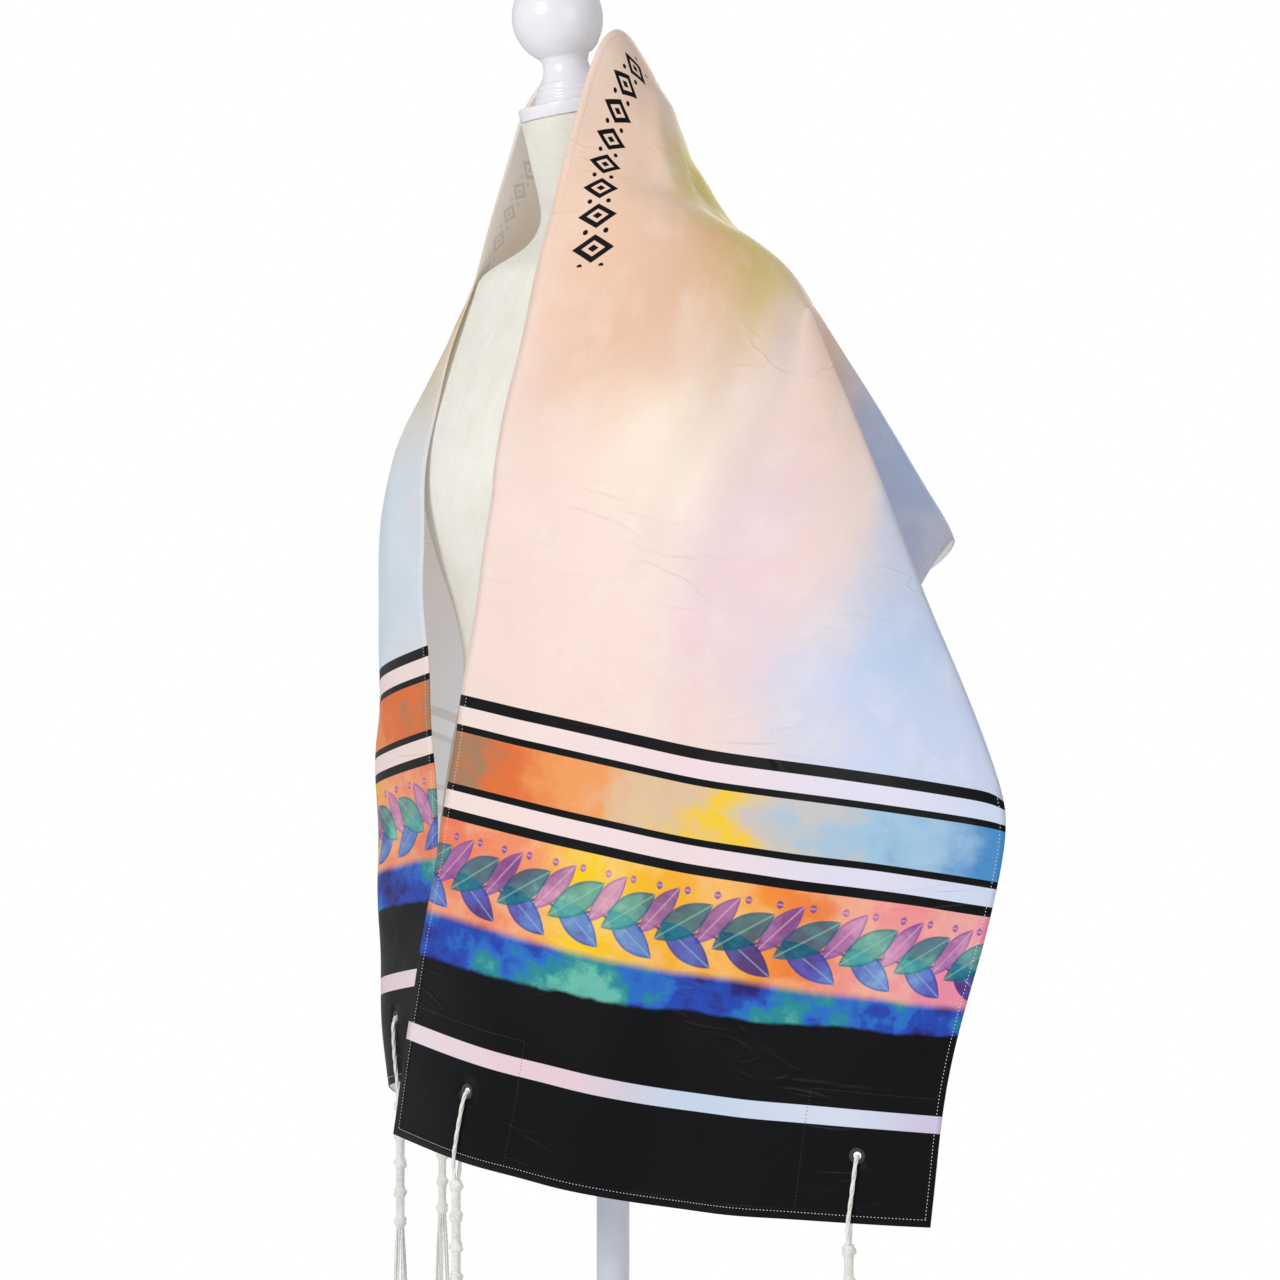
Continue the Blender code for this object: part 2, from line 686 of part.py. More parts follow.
def make_tassel(name, cloth, normals, grid, turn_start):
    knot, path = loop_path(cloth, normals, grid)
    foot = knot - Vector((0, 0, KNOT_PITCH * (KNOT_COUNT - 1)))
    tassel = turned(name, head_profile(), foot, sides=TASSEL_SIDES)
    pieces = [tube(path, CORD_DIAMETER / 2, CORD_SIDES)]
    for k in range(STRAND_COUNT):
        turn = turn_start + 2 * math.pi * k / STRAND_COUNT
        way = Vector((math.cos(turn), math.sin(turn), 0))
        strand = []
        for step in range(STRAND_STEPS + 1):
            share = step / STRAND_STEPS
            spread = STRAND_RING + (STRAND_SPREAD - STRAND_RING) * share**0.8
            length = STRAND_LENGTH * (1 - 0.06 * (k % 3))
            strand.append(foot + way * spread - Vector((0, 0, KNOT_RADIUS * 0.4 + length * share)))
        pieces.append(tube(strand, STRAND_DIAMETER / 2, STRAND_SIDES))
    for points, faces in pieces:
        piece = make_object("piece", points, faces)
        face_outward(piece)
        join = tassel.modifiers.new("join", "BOOLEAN")
        join.operation, join.solver, join.object = "UNION", "EXACT", piece
        apply_modifiers(tassel)
        bpy.data.objects.remove(piece, do_unlink=True)
    return tassel


def make_shawl(form):
    cloth = Cloth(form)
    normals = surface_normals(cloth.points, cloth.faces)
    outer_face = normals[cloth.places[(NEAR_LENGTH, 0.0)]]
    if outer_face.y > 0:
        cloth.faces = [ring[::-1] for ring in cloth.faces]
        normals = [-n for n in normals]
    shawl = wall_between("shawl", cloth.points, normals, cloth.faces, -CLOTH_WALL / 2, CLOTH_WALL / 2)
    for corner, (side, at_side) in enumerate(((1, False), (1, True), (-1, False), (-1, True))):
        label = ("near" if side > 0 else "far") + ("_side" if at_side else "_front")
        grid = corner_grid(cloth, side, at_side)
        patch = make_patch("patch_" + label, cloth, normals, grid)
        hole = grid[HOLE_CELLS_UP][HOLE_CELLS_IN]
        cut_hole((shawl, patch), cloth.points[hole], normals[hole])
        make_tassel("tzitzit_" + label, cloth, normals, grid, 0.4 * corner)


def main():
    clear_scene()
    torso = make_torso()
    face_outward(torso)
    faces = [tuple(p.vertices) for p in torso.data.polygons]
    form = BVHTree.FromPolygons([v.co for v in torso.data.vertices], faces)
    make_shawl(form)
    make_stand()


main()
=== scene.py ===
"""A tallit prayer shawl on a limbless dress form: fine surfaces, materials, light and camera.

A point of the flat cloth is named by down and wide, in metres: down runs along the inner
edge from the middle of the nape, positive on the near side and negative on the far side,
and wide runs from the inner edge to the outer one. Each cloth piece keeps them as its UV.
"""

import math
from functools import reduce

import bpy
import numpy as np
from mathutils import Euler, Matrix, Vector

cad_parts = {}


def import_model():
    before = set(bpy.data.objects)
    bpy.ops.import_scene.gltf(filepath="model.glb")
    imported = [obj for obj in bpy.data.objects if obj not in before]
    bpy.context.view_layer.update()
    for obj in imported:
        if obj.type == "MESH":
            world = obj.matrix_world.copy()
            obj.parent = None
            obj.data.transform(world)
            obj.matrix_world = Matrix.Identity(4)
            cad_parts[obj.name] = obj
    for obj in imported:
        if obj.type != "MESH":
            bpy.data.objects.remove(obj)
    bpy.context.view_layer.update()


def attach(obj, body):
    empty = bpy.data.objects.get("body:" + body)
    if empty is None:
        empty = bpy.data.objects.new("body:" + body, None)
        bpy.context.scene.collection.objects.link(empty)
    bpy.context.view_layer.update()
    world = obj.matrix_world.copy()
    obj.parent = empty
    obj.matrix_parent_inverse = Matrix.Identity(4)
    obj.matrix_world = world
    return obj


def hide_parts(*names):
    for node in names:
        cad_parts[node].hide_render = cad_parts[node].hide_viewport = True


def rows(columns, values):
    """A table's rows as dictionaries by the columns' names."""
    return [dict(zip(columns.split(), row)) for row in values]


# The flat cut
CLOTH_WIDTH = 0.46
NEAR_LENGTH = 0.93
FAR_LENGTH = 0.90
CLOTH_WALL = 0.0010
REST_GAP = 0.0017

# The mesh of the cloth, four fine cells to each of the solid's
CELL = 0.025
FINE = 4
DART_DOWN = 0.273
DART_WIDE = 0.233
FOLD_DOWN = 0.607
INNER_CELLS = 10 * FINE
OUTER_CELLS = 9 * FINE
DART_RAYS = 13 * FINE
SETTLE_ROUNDS = 44
SETTLE_SHARE = 0.5
REST_EVERY = 6
LAST_RESTS = 6
REST_MOST = 0.02
SLOPE_REACH = 0.0004
SAME_PLACE = 1e-5

# The inner edge on the near side, from the nape to the hem
INNER_NEAR = rows("down x y z", [
    (0.000, 0.000, 0.020, 1.436),
    (0.055, 0.036, 0.006, 1.455),
    (0.110, 0.050, -0.033, 1.476),
    (0.190, 0.058, -0.066, 1.392),
    (0.273, 0.064, -0.094, 1.306),
    (0.400, 0.059, -0.122, 1.180),
    (0.500, 0.047, -0.135, 1.076),
    (0.607, 0.033, -0.146, 0.970),
    (0.720, 0.016, -0.157, 0.855),
    (0.810, 0.002, -0.168, 0.766),
    (0.930, -0.015, -0.178, 0.644),
])
# The same on the far side, which hangs behind the near one at the front
INNER_FAR = rows("down x y z", [
    (0.000, 0.000, 0.020, 1.436),
    (0.055, -0.036, 0.004, 1.446),
    (0.110, -0.051, -0.035, 1.446),
    (0.190, -0.056, -0.058, 1.388),
    (0.273, -0.061, -0.080, 1.306),
    (0.400, -0.055, -0.126, 1.182),
    (0.500, -0.048, -0.138, 1.082),
    (0.607, -0.036, -0.139, 0.976),
    (0.720, -0.022, -0.138, 0.863),
    (0.810, -0.018, -0.138, 0.774),
    (0.900, -0.020, -0.138, 0.684),
])
# The middle line, with how far the cloth swells out between the inner edge and it
MIDDLE = rows("down x y z swell", [
    (0.000, 0.000, 0.093, 1.222, 0.006),
    (0.050, 0.044, 0.084, 1.254, 0.010),
    (0.110, 0.088, 0.074, 1.284, 0.002),
    (0.190, 0.138, 0.067, 1.284, 0.006),
    (0.273, 0.180, 0.056, 1.266, 0.034),
    (0.340, 0.210, 0.022, 1.194, 0.034),
    (0.420, 0.224, -0.014, 1.118, 0.024),
    (0.500, 0.232, -0.036, 1.038, 0.020),
    (0.607, 0.230, -0.050, 0.932, 0.022),
    (0.720, 0.219, -0.058, 0.820, 0.030),
    (0.810, 0.207, -0.066, 0.731, 0.036),
    (0.930, 0.190, -0.078, 0.612, 0.034),
])
# The outer edge: across the back, round the tuck and the fold, and down the front
OUTER = rows("down x y z", [
    (0.000, 0.000, 0.122, 0.992),
    (0.060, 0.050, 0.146, 0.998),
    (0.120, 0.098, 0.160, 1.015),
    (0.190, 0.148, 0.158, 1.045),
    (0.273, 0.206, 0.170, 1.072),
    (0.345, 0.250, 0.140, 1.088),
    (0.439, 0.262, 0.078, 1.004),
    (0.500, 0.318, 0.086, 0.958),
    (0.607, 0.408, 0.074, 0.904),
    (0.720, 0.396, 0.060, 0.800),
    (0.810, 0.378, 0.046, 0.722),
    (0.930, 0.362, 0.042, 0.612),
])
FRONT_SWELL = 0.020
OVER_SHOULDER_DOWN = 0.200
OVER_SHOULDER_REACH = 0.160
FAR_REACH = 0.90
FAR_BULGE = 0.036
FAR_BULGE_WIDE = 0.30
FAR_BULGE_DOWN = (0.26, 0.44)
FAR_BULGE_END = 0.90
FAR_BULGE_WAY = (-0.6, -0.8, 0.0)

# Dress form: half width, front and back of each level
TORSO = rows("z half front back", [
    (0.800, 0.166, -0.112, 0.104),
    (0.812, 0.172, -0.117, 0.110),
    (0.860, 0.171, -0.117, 0.109),
    (0.920, 0.152, -0.112, 0.092),
    (0.990, 0.123, -0.106, 0.070),
    (1.030, 0.130, -0.112, 0.072),
    (1.075, 0.147, -0.125, 0.080),
    (1.120, 0.160, -0.134, 0.087),
    (1.165, 0.170, -0.130, 0.092),
    (1.210, 0.171, -0.116, 0.093),
    (1.245, 0.160, -0.104, 0.088),
    (1.270, 0.141, -0.096, 0.077),
    (1.290, 0.118, -0.089, 0.064),
    (1.310, 0.074, -0.062, 0.036),
    (1.328, 0.050, -0.053, 0.013),
    (1.348, 0.041, -0.057, 0.005),
    (1.375, 0.039, -0.065, 0.004),
    (1.408, 0.040, -0.073, 0.007),
])
ROUNDNESS = 0.92
NECK_Y = -0.033
NECK_TOP = 1.408
NECK_LEAN = math.radians(11.0)
LEAN_FROM = 1.33

TORSO_ROWS = 150
TORSO_SIDES = 128

# Turned parts: radius, height up and rounding of each corner, from the foot to the top
NECK_PLATE = [(0.0, 0.0, 0), (0.042, 0.0, 0.001), (0.042, 0.010, 0.0015), (0.0, 0.010, 0)]
FINIAL_STEM = [
    (0.0, 0.000, 0),
    (0.0285, 0.000, 0.0010),
    (0.0290, 0.004, 0.0010),
    (0.0270, 0.006, 0.0005),
    (0.0272, 0.009, 0.0010),
    (0.0252, 0.011, 0.0005),
    (0.0252, 0.014, 0.0010),
    (0.0225, 0.016, 0.0015),
    (0.0190, 0.022, 0.0035),
    (0.0175, 0.029, 0.0030),
]
BALL_RADIUS = 0.0355
BALL_UP = 0.0640
BALL_FROM = math.radians(-57.0)
BASE = [(0.0, 0.0, 0), (0.152, 0.0, 0.003), (0.150, 0.009, 0.003), (0.110, 0.016, 0.02),
        (0.0, 0.020, 0)]
SOCKET = [(0.0, 0.0, 0), (0.030, 0.0, 0.0005), (0.030, 0.006, 0.0015), (0.020, 0.014, 0.004),
          (0.018, 0.055, 0.001), (0.0, 0.055, 0)]
SEAM = 0.0003
UNDER_PLATE_HIGH = 0.012
UNDER_PLATE_INSET = 0.96
POLE_DIAMETER = 0.025

# Corner patches and their holes
PATCH_HIGH = 4 * (NEAR_LENGTH - FOLD_DOWN) / 13
PATCH_FRONT_WIDE = DART_WIDE / 2
PATCH_SIDE_WIDE = 5 * (CLOTH_WIDTH - DART_WIDE) / 9
PATCH_GAP = 0.0003
PATCH_WALL = 0.0009
HOLE_DIAMETER = 0.010
HOLE_UP = PATCH_HIGH / 2
HOLE_IN_FRONT = 3 * DART_WIDE / 10
HOLE_IN_SIDE = 3 * (CLOTH_WIDTH - DART_WIDE) / 9

# Stitching
STITCH_INSET = 0.0055
STITCH_PATCH_INSET = 0.004
STITCH_PITCH = 0.0025
STITCH_LENGTH = 0.0017
STITCH_WIDE = 0.0008
STITCH_PROUD = 0.0003
STITCH_SCAN = 0.004
STITCH_AHEAD = 0.0015
STITCH_SIDES = 6

EYELET_STITCHES = 36
EYELET_MIDDLE = 0.0043
EYELET_HALF = 0.0016
EYELET_PROUD = 0.0004
EYELET_RIPPLE = 0.10

# Tassels
CORD_DIAMETER = 0.0030
CORD_GAP = 0.0006
CORD_STEP = 0.0012
CORD_FILL = 0.85
CORD_TWIST = {"lobes": 4, "lobe_high": 0.24, "pitch": 0.042}
NECK_DROP = 0.020
KNOT_RADIUS = 0.0048
WRAP_RADIUS = 0.0032
KNOT_COUNT = 5
KNOT_PITCH = 0.022
KNOT_SHARPNESS = 0.72
KNOT_CORDS_PITCH = 0.0065
KNOT_CORDS_RELIEF = 0.00055
WINDING_PITCH = 0.0015
WINDING_RELIEF = 0.00034
HEAD_STEP = 0.0003
HEAD_END = 0.0004
STRAND_COUNT = 8
STRAND_STEPS = 110
STRAND_LENGTH = 0.190
STRAND_DIAMETER = 0.0016
STRAND_RING = 0.0021
STRAND_SPREAD = 0.0100
STRAND_WAVE = 0.0012
STRAND_SWAY = 0.0016
STRAND_TWIST = {"lobes": 2, "lobe_high": 0.26, "pitch": 0.0052}
END_KNOT_RADIUS = 0.0013

# Soft creases of the cloth: a line on the flat cloth, its half width and its height
CREASE_FADE = 0.25
CREASES = rows("down wide half high", [
    ((0.60, 0.93), (0.300, 0.290), 0.030, 0.0050),
    ((0.63, 0.93), (0.150, 0.125), 0.034, -0.0045),
    ((0.34, 0.62), (0.090, 0.060), 0.024, 0.0030),
    ((0.30, 0.52), (0.190, 0.150), 0.020, -0.0026),
    ((0.52, 0.56), (0.140, 0.215), 0.010, 0.0012),
    ((0.66, 0.72), (0.330, 0.440), 0.014, -0.0020),
    ((0.06, 0.20), (0.060, 0.105), 0.012, 0.0024),
    ((0.05, 0.22), (0.105, 0.160), 0.013, -0.0022),
    ((0.02, 0.10), (0.200, 0.420), 0.022, 0.0040),
    ((0.10, 0.20), (0.240, 0.440), 0.020, -0.0036),
    ((-0.62, -0.90), (0.310, 0.300), 0.030, 0.0050),
    ((-0.60, -0.90), (0.120, 0.100), 0.030, 0.0030),
    ((-0.36, -0.60), (0.160, 0.120), 0.022, -0.0026),
    ((-0.30, -0.50), (0.080, 0.060), 0.020, 0.0024),
    ((-0.05, -0.18), (0.070, 0.110), 0.012, 0.0024),
    ((-0.04, -0.13), (0.210, 0.430), 0.022, 0.0040),
    ((-0.12, -0.22), (0.250, 0.440), 0.020, -0.0034),
])


def curve(table, column, at, by="down"):
    """A smooth line through a table's rows, read at many places at once: in each span the
    cubic that meets both rows with the slope between their neighbours."""
    marks = np.array([row[by] for row in table])
    values = np.array([row[column] for row in table])
    count = len(marks)
    before = np.maximum(np.arange(count) - 1, 0)
    after = np.minimum(np.arange(count) + 1, count - 1)
    slopes = (values[after] - values[before]) / (marks[after] - marks[before])
    i = np.clip(np.searchsorted(marks, at, side="left") - 1, 0, count - 2)
    step = marks[i + 1] - marks[i]
    u = (at - marks[i]) / step
    bend = u**3 - 2 * u**2 + u
    return (
        (2 * u**3 - 3 * u**2 + 1) * values[i]
        + bend * slopes[i] * step
        + (3 * u**2 - 2 * u**3) * values[i + 1]
        + (u**3 - u**2) * slopes[i + 1] * step
    )


def line(table, at):
    """The point of a table's line at each place of an array."""
    return np.stack([curve(table, column, at) for column in "xyz"], axis=-1)


def unit(ways):
    """Each way over its own length."""
    return ways / np.maximum(np.linalg.norm(ways, axis=-1, keepdims=True), 1e-9)


def smoothstep(value, low, high):
    """0 below low, 1 above high, and 3t^2 - 2t^3 between."""
    share = np.clip((value - low) / (high - low), 0.0, 1.0)
    return share**2 * (3 - 2 * share)


def round_turn(count):
    """Even angles once round a ring, the last one left out."""
    return np.linspace(0, 2 * math.pi, count, endpoint=False)


def length_along(points):
    """The length of a line of points up to each of them."""
    return np.concatenate([[0.0], np.cumsum(np.linalg.norm(np.diff(points, axis=0), axis=1))])


# The hanging cloth


def swell_way(first, second, down):
    """The way that cloth swells: out from the form, and up where it lies on a shoulder."""
    middle = (first + second) / 2
    out = unit(np.stack([middle[..., 0], middle[..., 1] - NECK_Y, 0 * down], axis=-1))
    over = np.clip(1.0 - np.abs(down - OVER_SHOULDER_DOWN) / OVER_SHOULDER_REACH, 0.0, 1.0)
    over = over[..., None]
    return unit(out * (1 - over) + np.array([0.0, 0.0, 1.0]) * over)


def mix(first, second, share):
    """The straight line from first to second, read at the share."""
    return first + (second - first) * share[..., None]


def hang_inner(inner, down, wide):
    """From the inner edge to the middle line: straight, plus a half sine of swell."""
    share = wide / DART_WIDE
    edge, middle = line(inner, down), line(MIDDLE, down)
    swell = curve(MIDDLE, "swell", down) * np.sin(math.pi * share)
    return mix(edge, middle, share) + swell_way(edge, middle, down) * swell[..., None]


def hang_front(down, wide):
    """From the middle line to the fold, or to the outer edge below it, with a swell."""
    along = np.clip((down - DART_DOWN) / (FOLD_DOWN - DART_DOWN), 0.0, 1.0)
    start = line(MIDDLE, np.full(down.shape, DART_DOWN))
    fold = mix(start, line(OUTER, np.full(down.shape, FOLD_DOWN)), along)
    rim = np.where(along[..., None] < 1, fold, line(OUTER, down))
    share = (wide - DART_WIDE) / np.maximum((CLOTH_WIDTH - DART_WIDE) * along, 1e-9)
    share = np.where(along > 0, share, 0.0)
    middle = line(MIDDLE, down)
    swell = FRONT_SWELL * along * np.sin(math.pi * share)
    return mix(middle, rim, share) + swell_way(middle, rim, down) * swell[..., None]


def down_rows(length):
    """The rows of the mesh, with one at the dart's tip, its fold and its hem."""
    marks = [0.0, DART_DOWN, FOLD_DOWN, length]
    parts = [np.linspace(a, b, round((b - a) / CELL) * FINE + 1) for a, b in zip(marks, marks[1:])]
    return np.concatenate([parts[0], parts[1][1:], parts[2][1:]])


def cloth_blocks(length, inner):
    """The four grids of one side as (flat places, hanging points): the inner half, the back
    beside the dart, the dart's own fan of lines from its tip, and the front."""
    marks = down_rows(length)
    fold_marks = marks[(marks > DART_DOWN - 1e-9) & (marks < FOLD_DOWN + 1e-9)]
    steps = (fold_marks - DART_DOWN) / (FOLD_DOWN - DART_DOWN)
    down, wide = np.meshgrid(marks, np.linspace(0, DART_WIDE, INNER_CELLS + 1), indexing="ij")
    blocks = [(down, wide, hang_inner(inner, down, wide))]
    back = marks[marks < DART_DOWN + 1e-9]
    down, step = np.meshgrid(back, steps, indexing="ij")
    wide = DART_WIDE + (CLOTH_WIDTH - DART_WIDE) * step
    blocks.append((down, wide, mix(line(MIDDLE, down), line(OUTER, down), step)))
    rays = np.linspace(DART_DOWN, FOLD_DOWN, DART_RAYS + 1)
    at_edge, step = np.meshgrid(rays, steps, indexing="ij")
    tip = line(MIDDLE, np.full(step.shape, DART_DOWN))
    down = DART_DOWN + (at_edge - DART_DOWN) * step
    wide = DART_WIDE + (CLOTH_WIDTH - DART_WIDE) * step
    blocks.append((down, wide, mix(tip, line(OUTER, at_edge), step)))
    front = marks[marks > DART_DOWN - 1e-9]
    down, share = np.meshgrid(front, np.linspace(0, 1, OUTER_CELLS + 1), indexing="ij")
    reach = np.minimum((down - DART_DOWN) / (FOLD_DOWN - DART_DOWN), 1.0)
    wide = DART_WIDE + (CLOTH_WIDTH - DART_WIDE) * reach * share
    blocks.append((down, wide, hang_front(down, wide)))
    return blocks


def to_far_side(points, down, wide):
    """The near side mirrored: drawn closer to the form toward the outer edge, and bulging
    forward beside the inner edge."""
    squeeze = 1 - (1 - FAR_REACH) * np.minimum(wide / CLOTH_WIDTH, 1.0)
    grown = smoothstep(down, *FAR_BULGE_DOWN)
    kept = 1.0 - np.maximum(0.0, (down - FAR_BULGE_DOWN[1]) / (FAR_BULGE_END - FAR_BULGE_DOWN[1]))
    bulge = FAR_BULGE * grown * kept * np.sin(math.pi * np.minimum(wide / FAR_BULGE_WIDE, 1.0))
    turned = points * np.stack([-squeeze, np.ones_like(squeeze), np.ones_like(squeeze)], axis=-1)
    return turned + np.array(FAR_BULGE_WAY) * bulge[..., None]


def grid_faces(rows, columns):
    """The quads of a grid as an array of four point numbers."""
    numbers = np.arange(rows * columns).reshape(rows, columns)
    a, b, c, d = numbers[:-1, :-1], numbers[1:, :-1], numbers[1:, 1:], numbers[:-1, 1:]
    return np.stack([a, b, c, d], axis=-1).reshape(-1, 4)


def join_blocks():
    """Both sides' grids in one, with points of the same flat place merged."""
    places, points, quads, count = [], [], [], 0
    for side, length, inner in ((1, NEAR_LENGTH, INNER_NEAR), (-1, FAR_LENGTH, INNER_FAR)):
        if side < 0:
            inner = [dict(row, x=-row["x"]) for row in inner]
        for down, wide, hung in cloth_blocks(length, inner):
            if side < 0:
                hung = to_far_side(hung, down, wide)
            faces = grid_faces(*down.shape) + count
            quads.append(faces if side > 0 else faces[:, ::-1])
            places.append(np.stack([side * down.ravel(), wide.ravel()], axis=-1))
            points.append(hung.reshape(-1, 3))
            count += down.size
    places, points, quads = (np.concatenate(part) for part in (places, points, quads))
    keys = np.rint(places / SAME_PLACE).astype(np.int64)
    _, first, new = np.unique(keys, axis=0, return_index=True, return_inverse=True)
    return places[first], points[first], new.ravel()[quads]


def face_edges(quads):
    """Each edge of each face once as (lower, higher), and how many faces share it."""
    pairs = np.concatenate([quads[:, [i, (i + 1) % 4]] for i in range(4)])
    pairs = np.sort(pairs[pairs[:, 0] != pairs[:, 1]], axis=1)
    return np.unique(pairs, axis=0, return_counts=True)


def form_size(z):
    """The torso's half width, front and back at each height."""
    return [curve(TORSO, column, z, "z") for column in ("half", "front", "back")]


def form_level(points):
    """Under 1 inside the dress form and over 1 outside: the rounded oval's equation at the
    point's height, measured on the untilted form."""
    x, y, z = points.T
    share = np.clip((z - LEAN_FROM) / (NECK_TOP - LEAN_FROM), 0.0, 1.0)
    z = np.clip(z - (y - NECK_Y) * math.tan(NECK_LEAN) * share, TORSO[0]["z"], NECK_TOP)
    half, front, back = form_size(z)
    across = (np.abs(x) / half) ** (2 / ROUNDNESS)
    return np.sqrt(across + ((y - (front + back) / 2) / ((back - front) / 2)) ** 2)


def rest_on_form(points, gap):
    """Moves the points that are nearer to the form than gap straight out of it: the lack is
    the level's distance from 1 over its slope."""
    level = form_level(points)
    moved = [form_level(points + SLOPE_REACH * way) for way in np.eye(3)]
    slope = (np.stack(moved, axis=-1) - level[:, None]) / SLOPE_REACH
    steep = np.maximum(np.linalg.norm(slope, axis=1), 1e-6)
    lack = np.clip(gap - (level - 1) / steep, 0.0, REST_MOST)
    lack[points[:, 2] < TORSO[0]["z"] - 0.004] = 0.0
    return points + slope / steep[:, None] * lack[:, None]


def settle(places, points, quads):
    """Each round moves a point half way to the mean of its neighbours, edge points along
    the edge only, with the four corners pinned, and then rests the cloth on the form."""
    edges, uses = face_edges(quads)
    rim = np.zeros(len(points), bool)
    rim[edges[uses == 1].ravel()] = True
    one = np.concatenate([edges[:, 0], edges[:, 1]])
    two = np.concatenate([edges[:, 1], edges[:, 0]])
    kept = ~rim[one] | rim[two]
    one, two = one[kept], two[kept]
    count = np.bincount(one, minlength=len(points))[:, None]
    at_end = np.isclose(places[:, 0], NEAR_LENGTH) | np.isclose(places[:, 0], -FAR_LENGTH)
    at_side = np.isclose(places[:, 1], 0) | np.isclose(places[:, 1], CLOTH_WIDTH)
    free = ~(at_end & at_side)
    for turn in range(SETTLE_ROUNDS):
        sums = [np.bincount(one, points[two, k], len(points)) for k in range(3)]
        mean = np.stack(sums, axis=-1) / count
        points = points + (mean - points) * SETTLE_SHARE * free[:, None]
        if turn % REST_EVERY == REST_EVERY - 1:
            points = rest_on_form(points, REST_GAP)
    return points


def point_normals(points, quads):
    """Each point's normal: the sum of its faces' crossed diagonals, made unit length."""
    a, b, c, d = (points[quads[:, k]] for k in range(4))
    flat = np.cross(c - a, d - b)
    sums = np.zeros_like(points)
    for k in range(4):
        np.add.at(sums, quads[:, k], flat)
    return unit(sums)


def crease_height(places):
    """Soft folds: a bell across each crease's line, fading at its ends, plus faint unevenness
    from three crossed sine waves."""
    height = np.zeros(len(places))
    for crease in CREASES:
        start = np.array([crease["down"][0], crease["wide"][0]])
        way = np.array([crease["down"][1], crease["wide"][1]]) - start
        along = np.clip((places - start) @ way / (way @ way), -CREASE_FADE, 1.0)
        far = np.linalg.norm(places - start - along[:, None] * way, axis=1)
        fade = smoothstep(along, -CREASE_FADE, CREASE_FADE)
        height += crease["high"] * np.exp(-((far / crease["half"]) ** 2)) * fade
    down, wide = places.T
    height += 0.0007 * np.sin(41 * down + 17 * wide + 1.3) * np.sin(23 * wide - 19 * down)
    height += 0.0005 * np.sin(67 * down - 38 * wide)
    return height


class Cloth:
    """The cloth's middle surface: flat places, hanging points, normals and faces."""

    def __init__(self):
        self.places, points, self.quads = join_blocks()
        points = settle(self.places, points, self.quads)
        normals = point_normals(points, self.quads)
        front = np.argmin(np.abs(self.places - [NEAR_LENGTH, 0.0]).sum(axis=1))
        if normals[front, 1] > 0:
            self.quads = self.quads[:, ::-1]
            normals = -normals
        points = points + normals * crease_height(self.places)[:, None]
        for _ in range(LAST_RESTS):
            points = rest_on_form(points, REST_GAP)
        self.points = points
        self.normals = point_normals(points, self.quads)


# Pieces


def mesh_faces(quads):
    """Quads as lists of point numbers, with a corner left out where two are the same."""
    same = quads == np.roll(quads, -1, axis=1)
    whole = ~same.any(axis=1)
    thin = quads[~whole]
    drop = np.argmax(same[~whole], axis=1)
    keep = (drop[:, None] + np.array([1, 2, 3])) % 4
    return quads[whole].tolist() + np.take_along_axis(thin, keep, axis=1).tolist()


def new_piece(name, shape, materials, node="", uv=None):
    """A smooth-shaded mesh object that rides on the part, takes a node's place if one is named, and
    has its flat places as UV if they are given. The shape is its points and quads."""
    points, quads = shape
    used, quads = np.unique(quads, return_inverse=True)
    quads = quads.reshape(-1, 4)
    mesh = bpy.data.meshes.new(name)
    mesh.from_pydata(points[used].tolist(), [], mesh_faces(quads))
    mesh.polygons.foreach_set("use_smooth", np.ones(len(mesh.polygons), bool))
    if uv is not None:
        corners = np.empty(len(mesh.loops), np.int32)
        mesh.loops.foreach_get("vertex_index", corners)
        layer = mesh.uv_layers.new(name="flat")
        layer.data.foreach_set("uv", uv[used][corners].astype(np.float32).ravel())
    for material in materials:
        mesh.materials.append(material)
    piece = bpy.data.objects.new(name, mesh)
    bpy.context.scene.collection.objects.link(piece)
    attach(piece, "root")
    if node:
        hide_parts(node)
    return piece


def give_wall(piece, thickness, inner_material=0):
    """Gives a middle surface its thickness, half of it to each side."""
    wall = piece.modifiers.new("wall", "SOLIDIFY")
    wall.thickness = thickness
    wall.offset = 0.0
    wall.material_offset = inner_material
    wall.material_offset_rim = 0


def open_hole(cloth, place):
    """Takes out the four faces round a point and sets their rim on a circle."""
    middle = np.argmin(np.abs(cloth.places - place).sum(axis=1))
    round_it = (cloth.quads == middle).any(axis=1)
    rim = np.setdiff1d(cloth.quads[round_it], [middle])
    normal = cloth.normals[middle]
    off = cloth.points[rim] - cloth.points[middle]
    off -= (off @ normal)[:, None] * normal
    size = np.linalg.norm(off, axis=1, keepdims=True)
    cloth.points[rim] = cloth.points[middle] + off / size * HOLE_DIAMETER / 2
    share = HOLE_DIAMETER / 2 / size
    cloth.places[rim] = cloth.places[middle] + (cloth.places[rim] - cloth.places[middle]) * share
    cloth.quads = cloth.quads[~round_it]
    return cloth.points[middle].copy(), normal.copy()


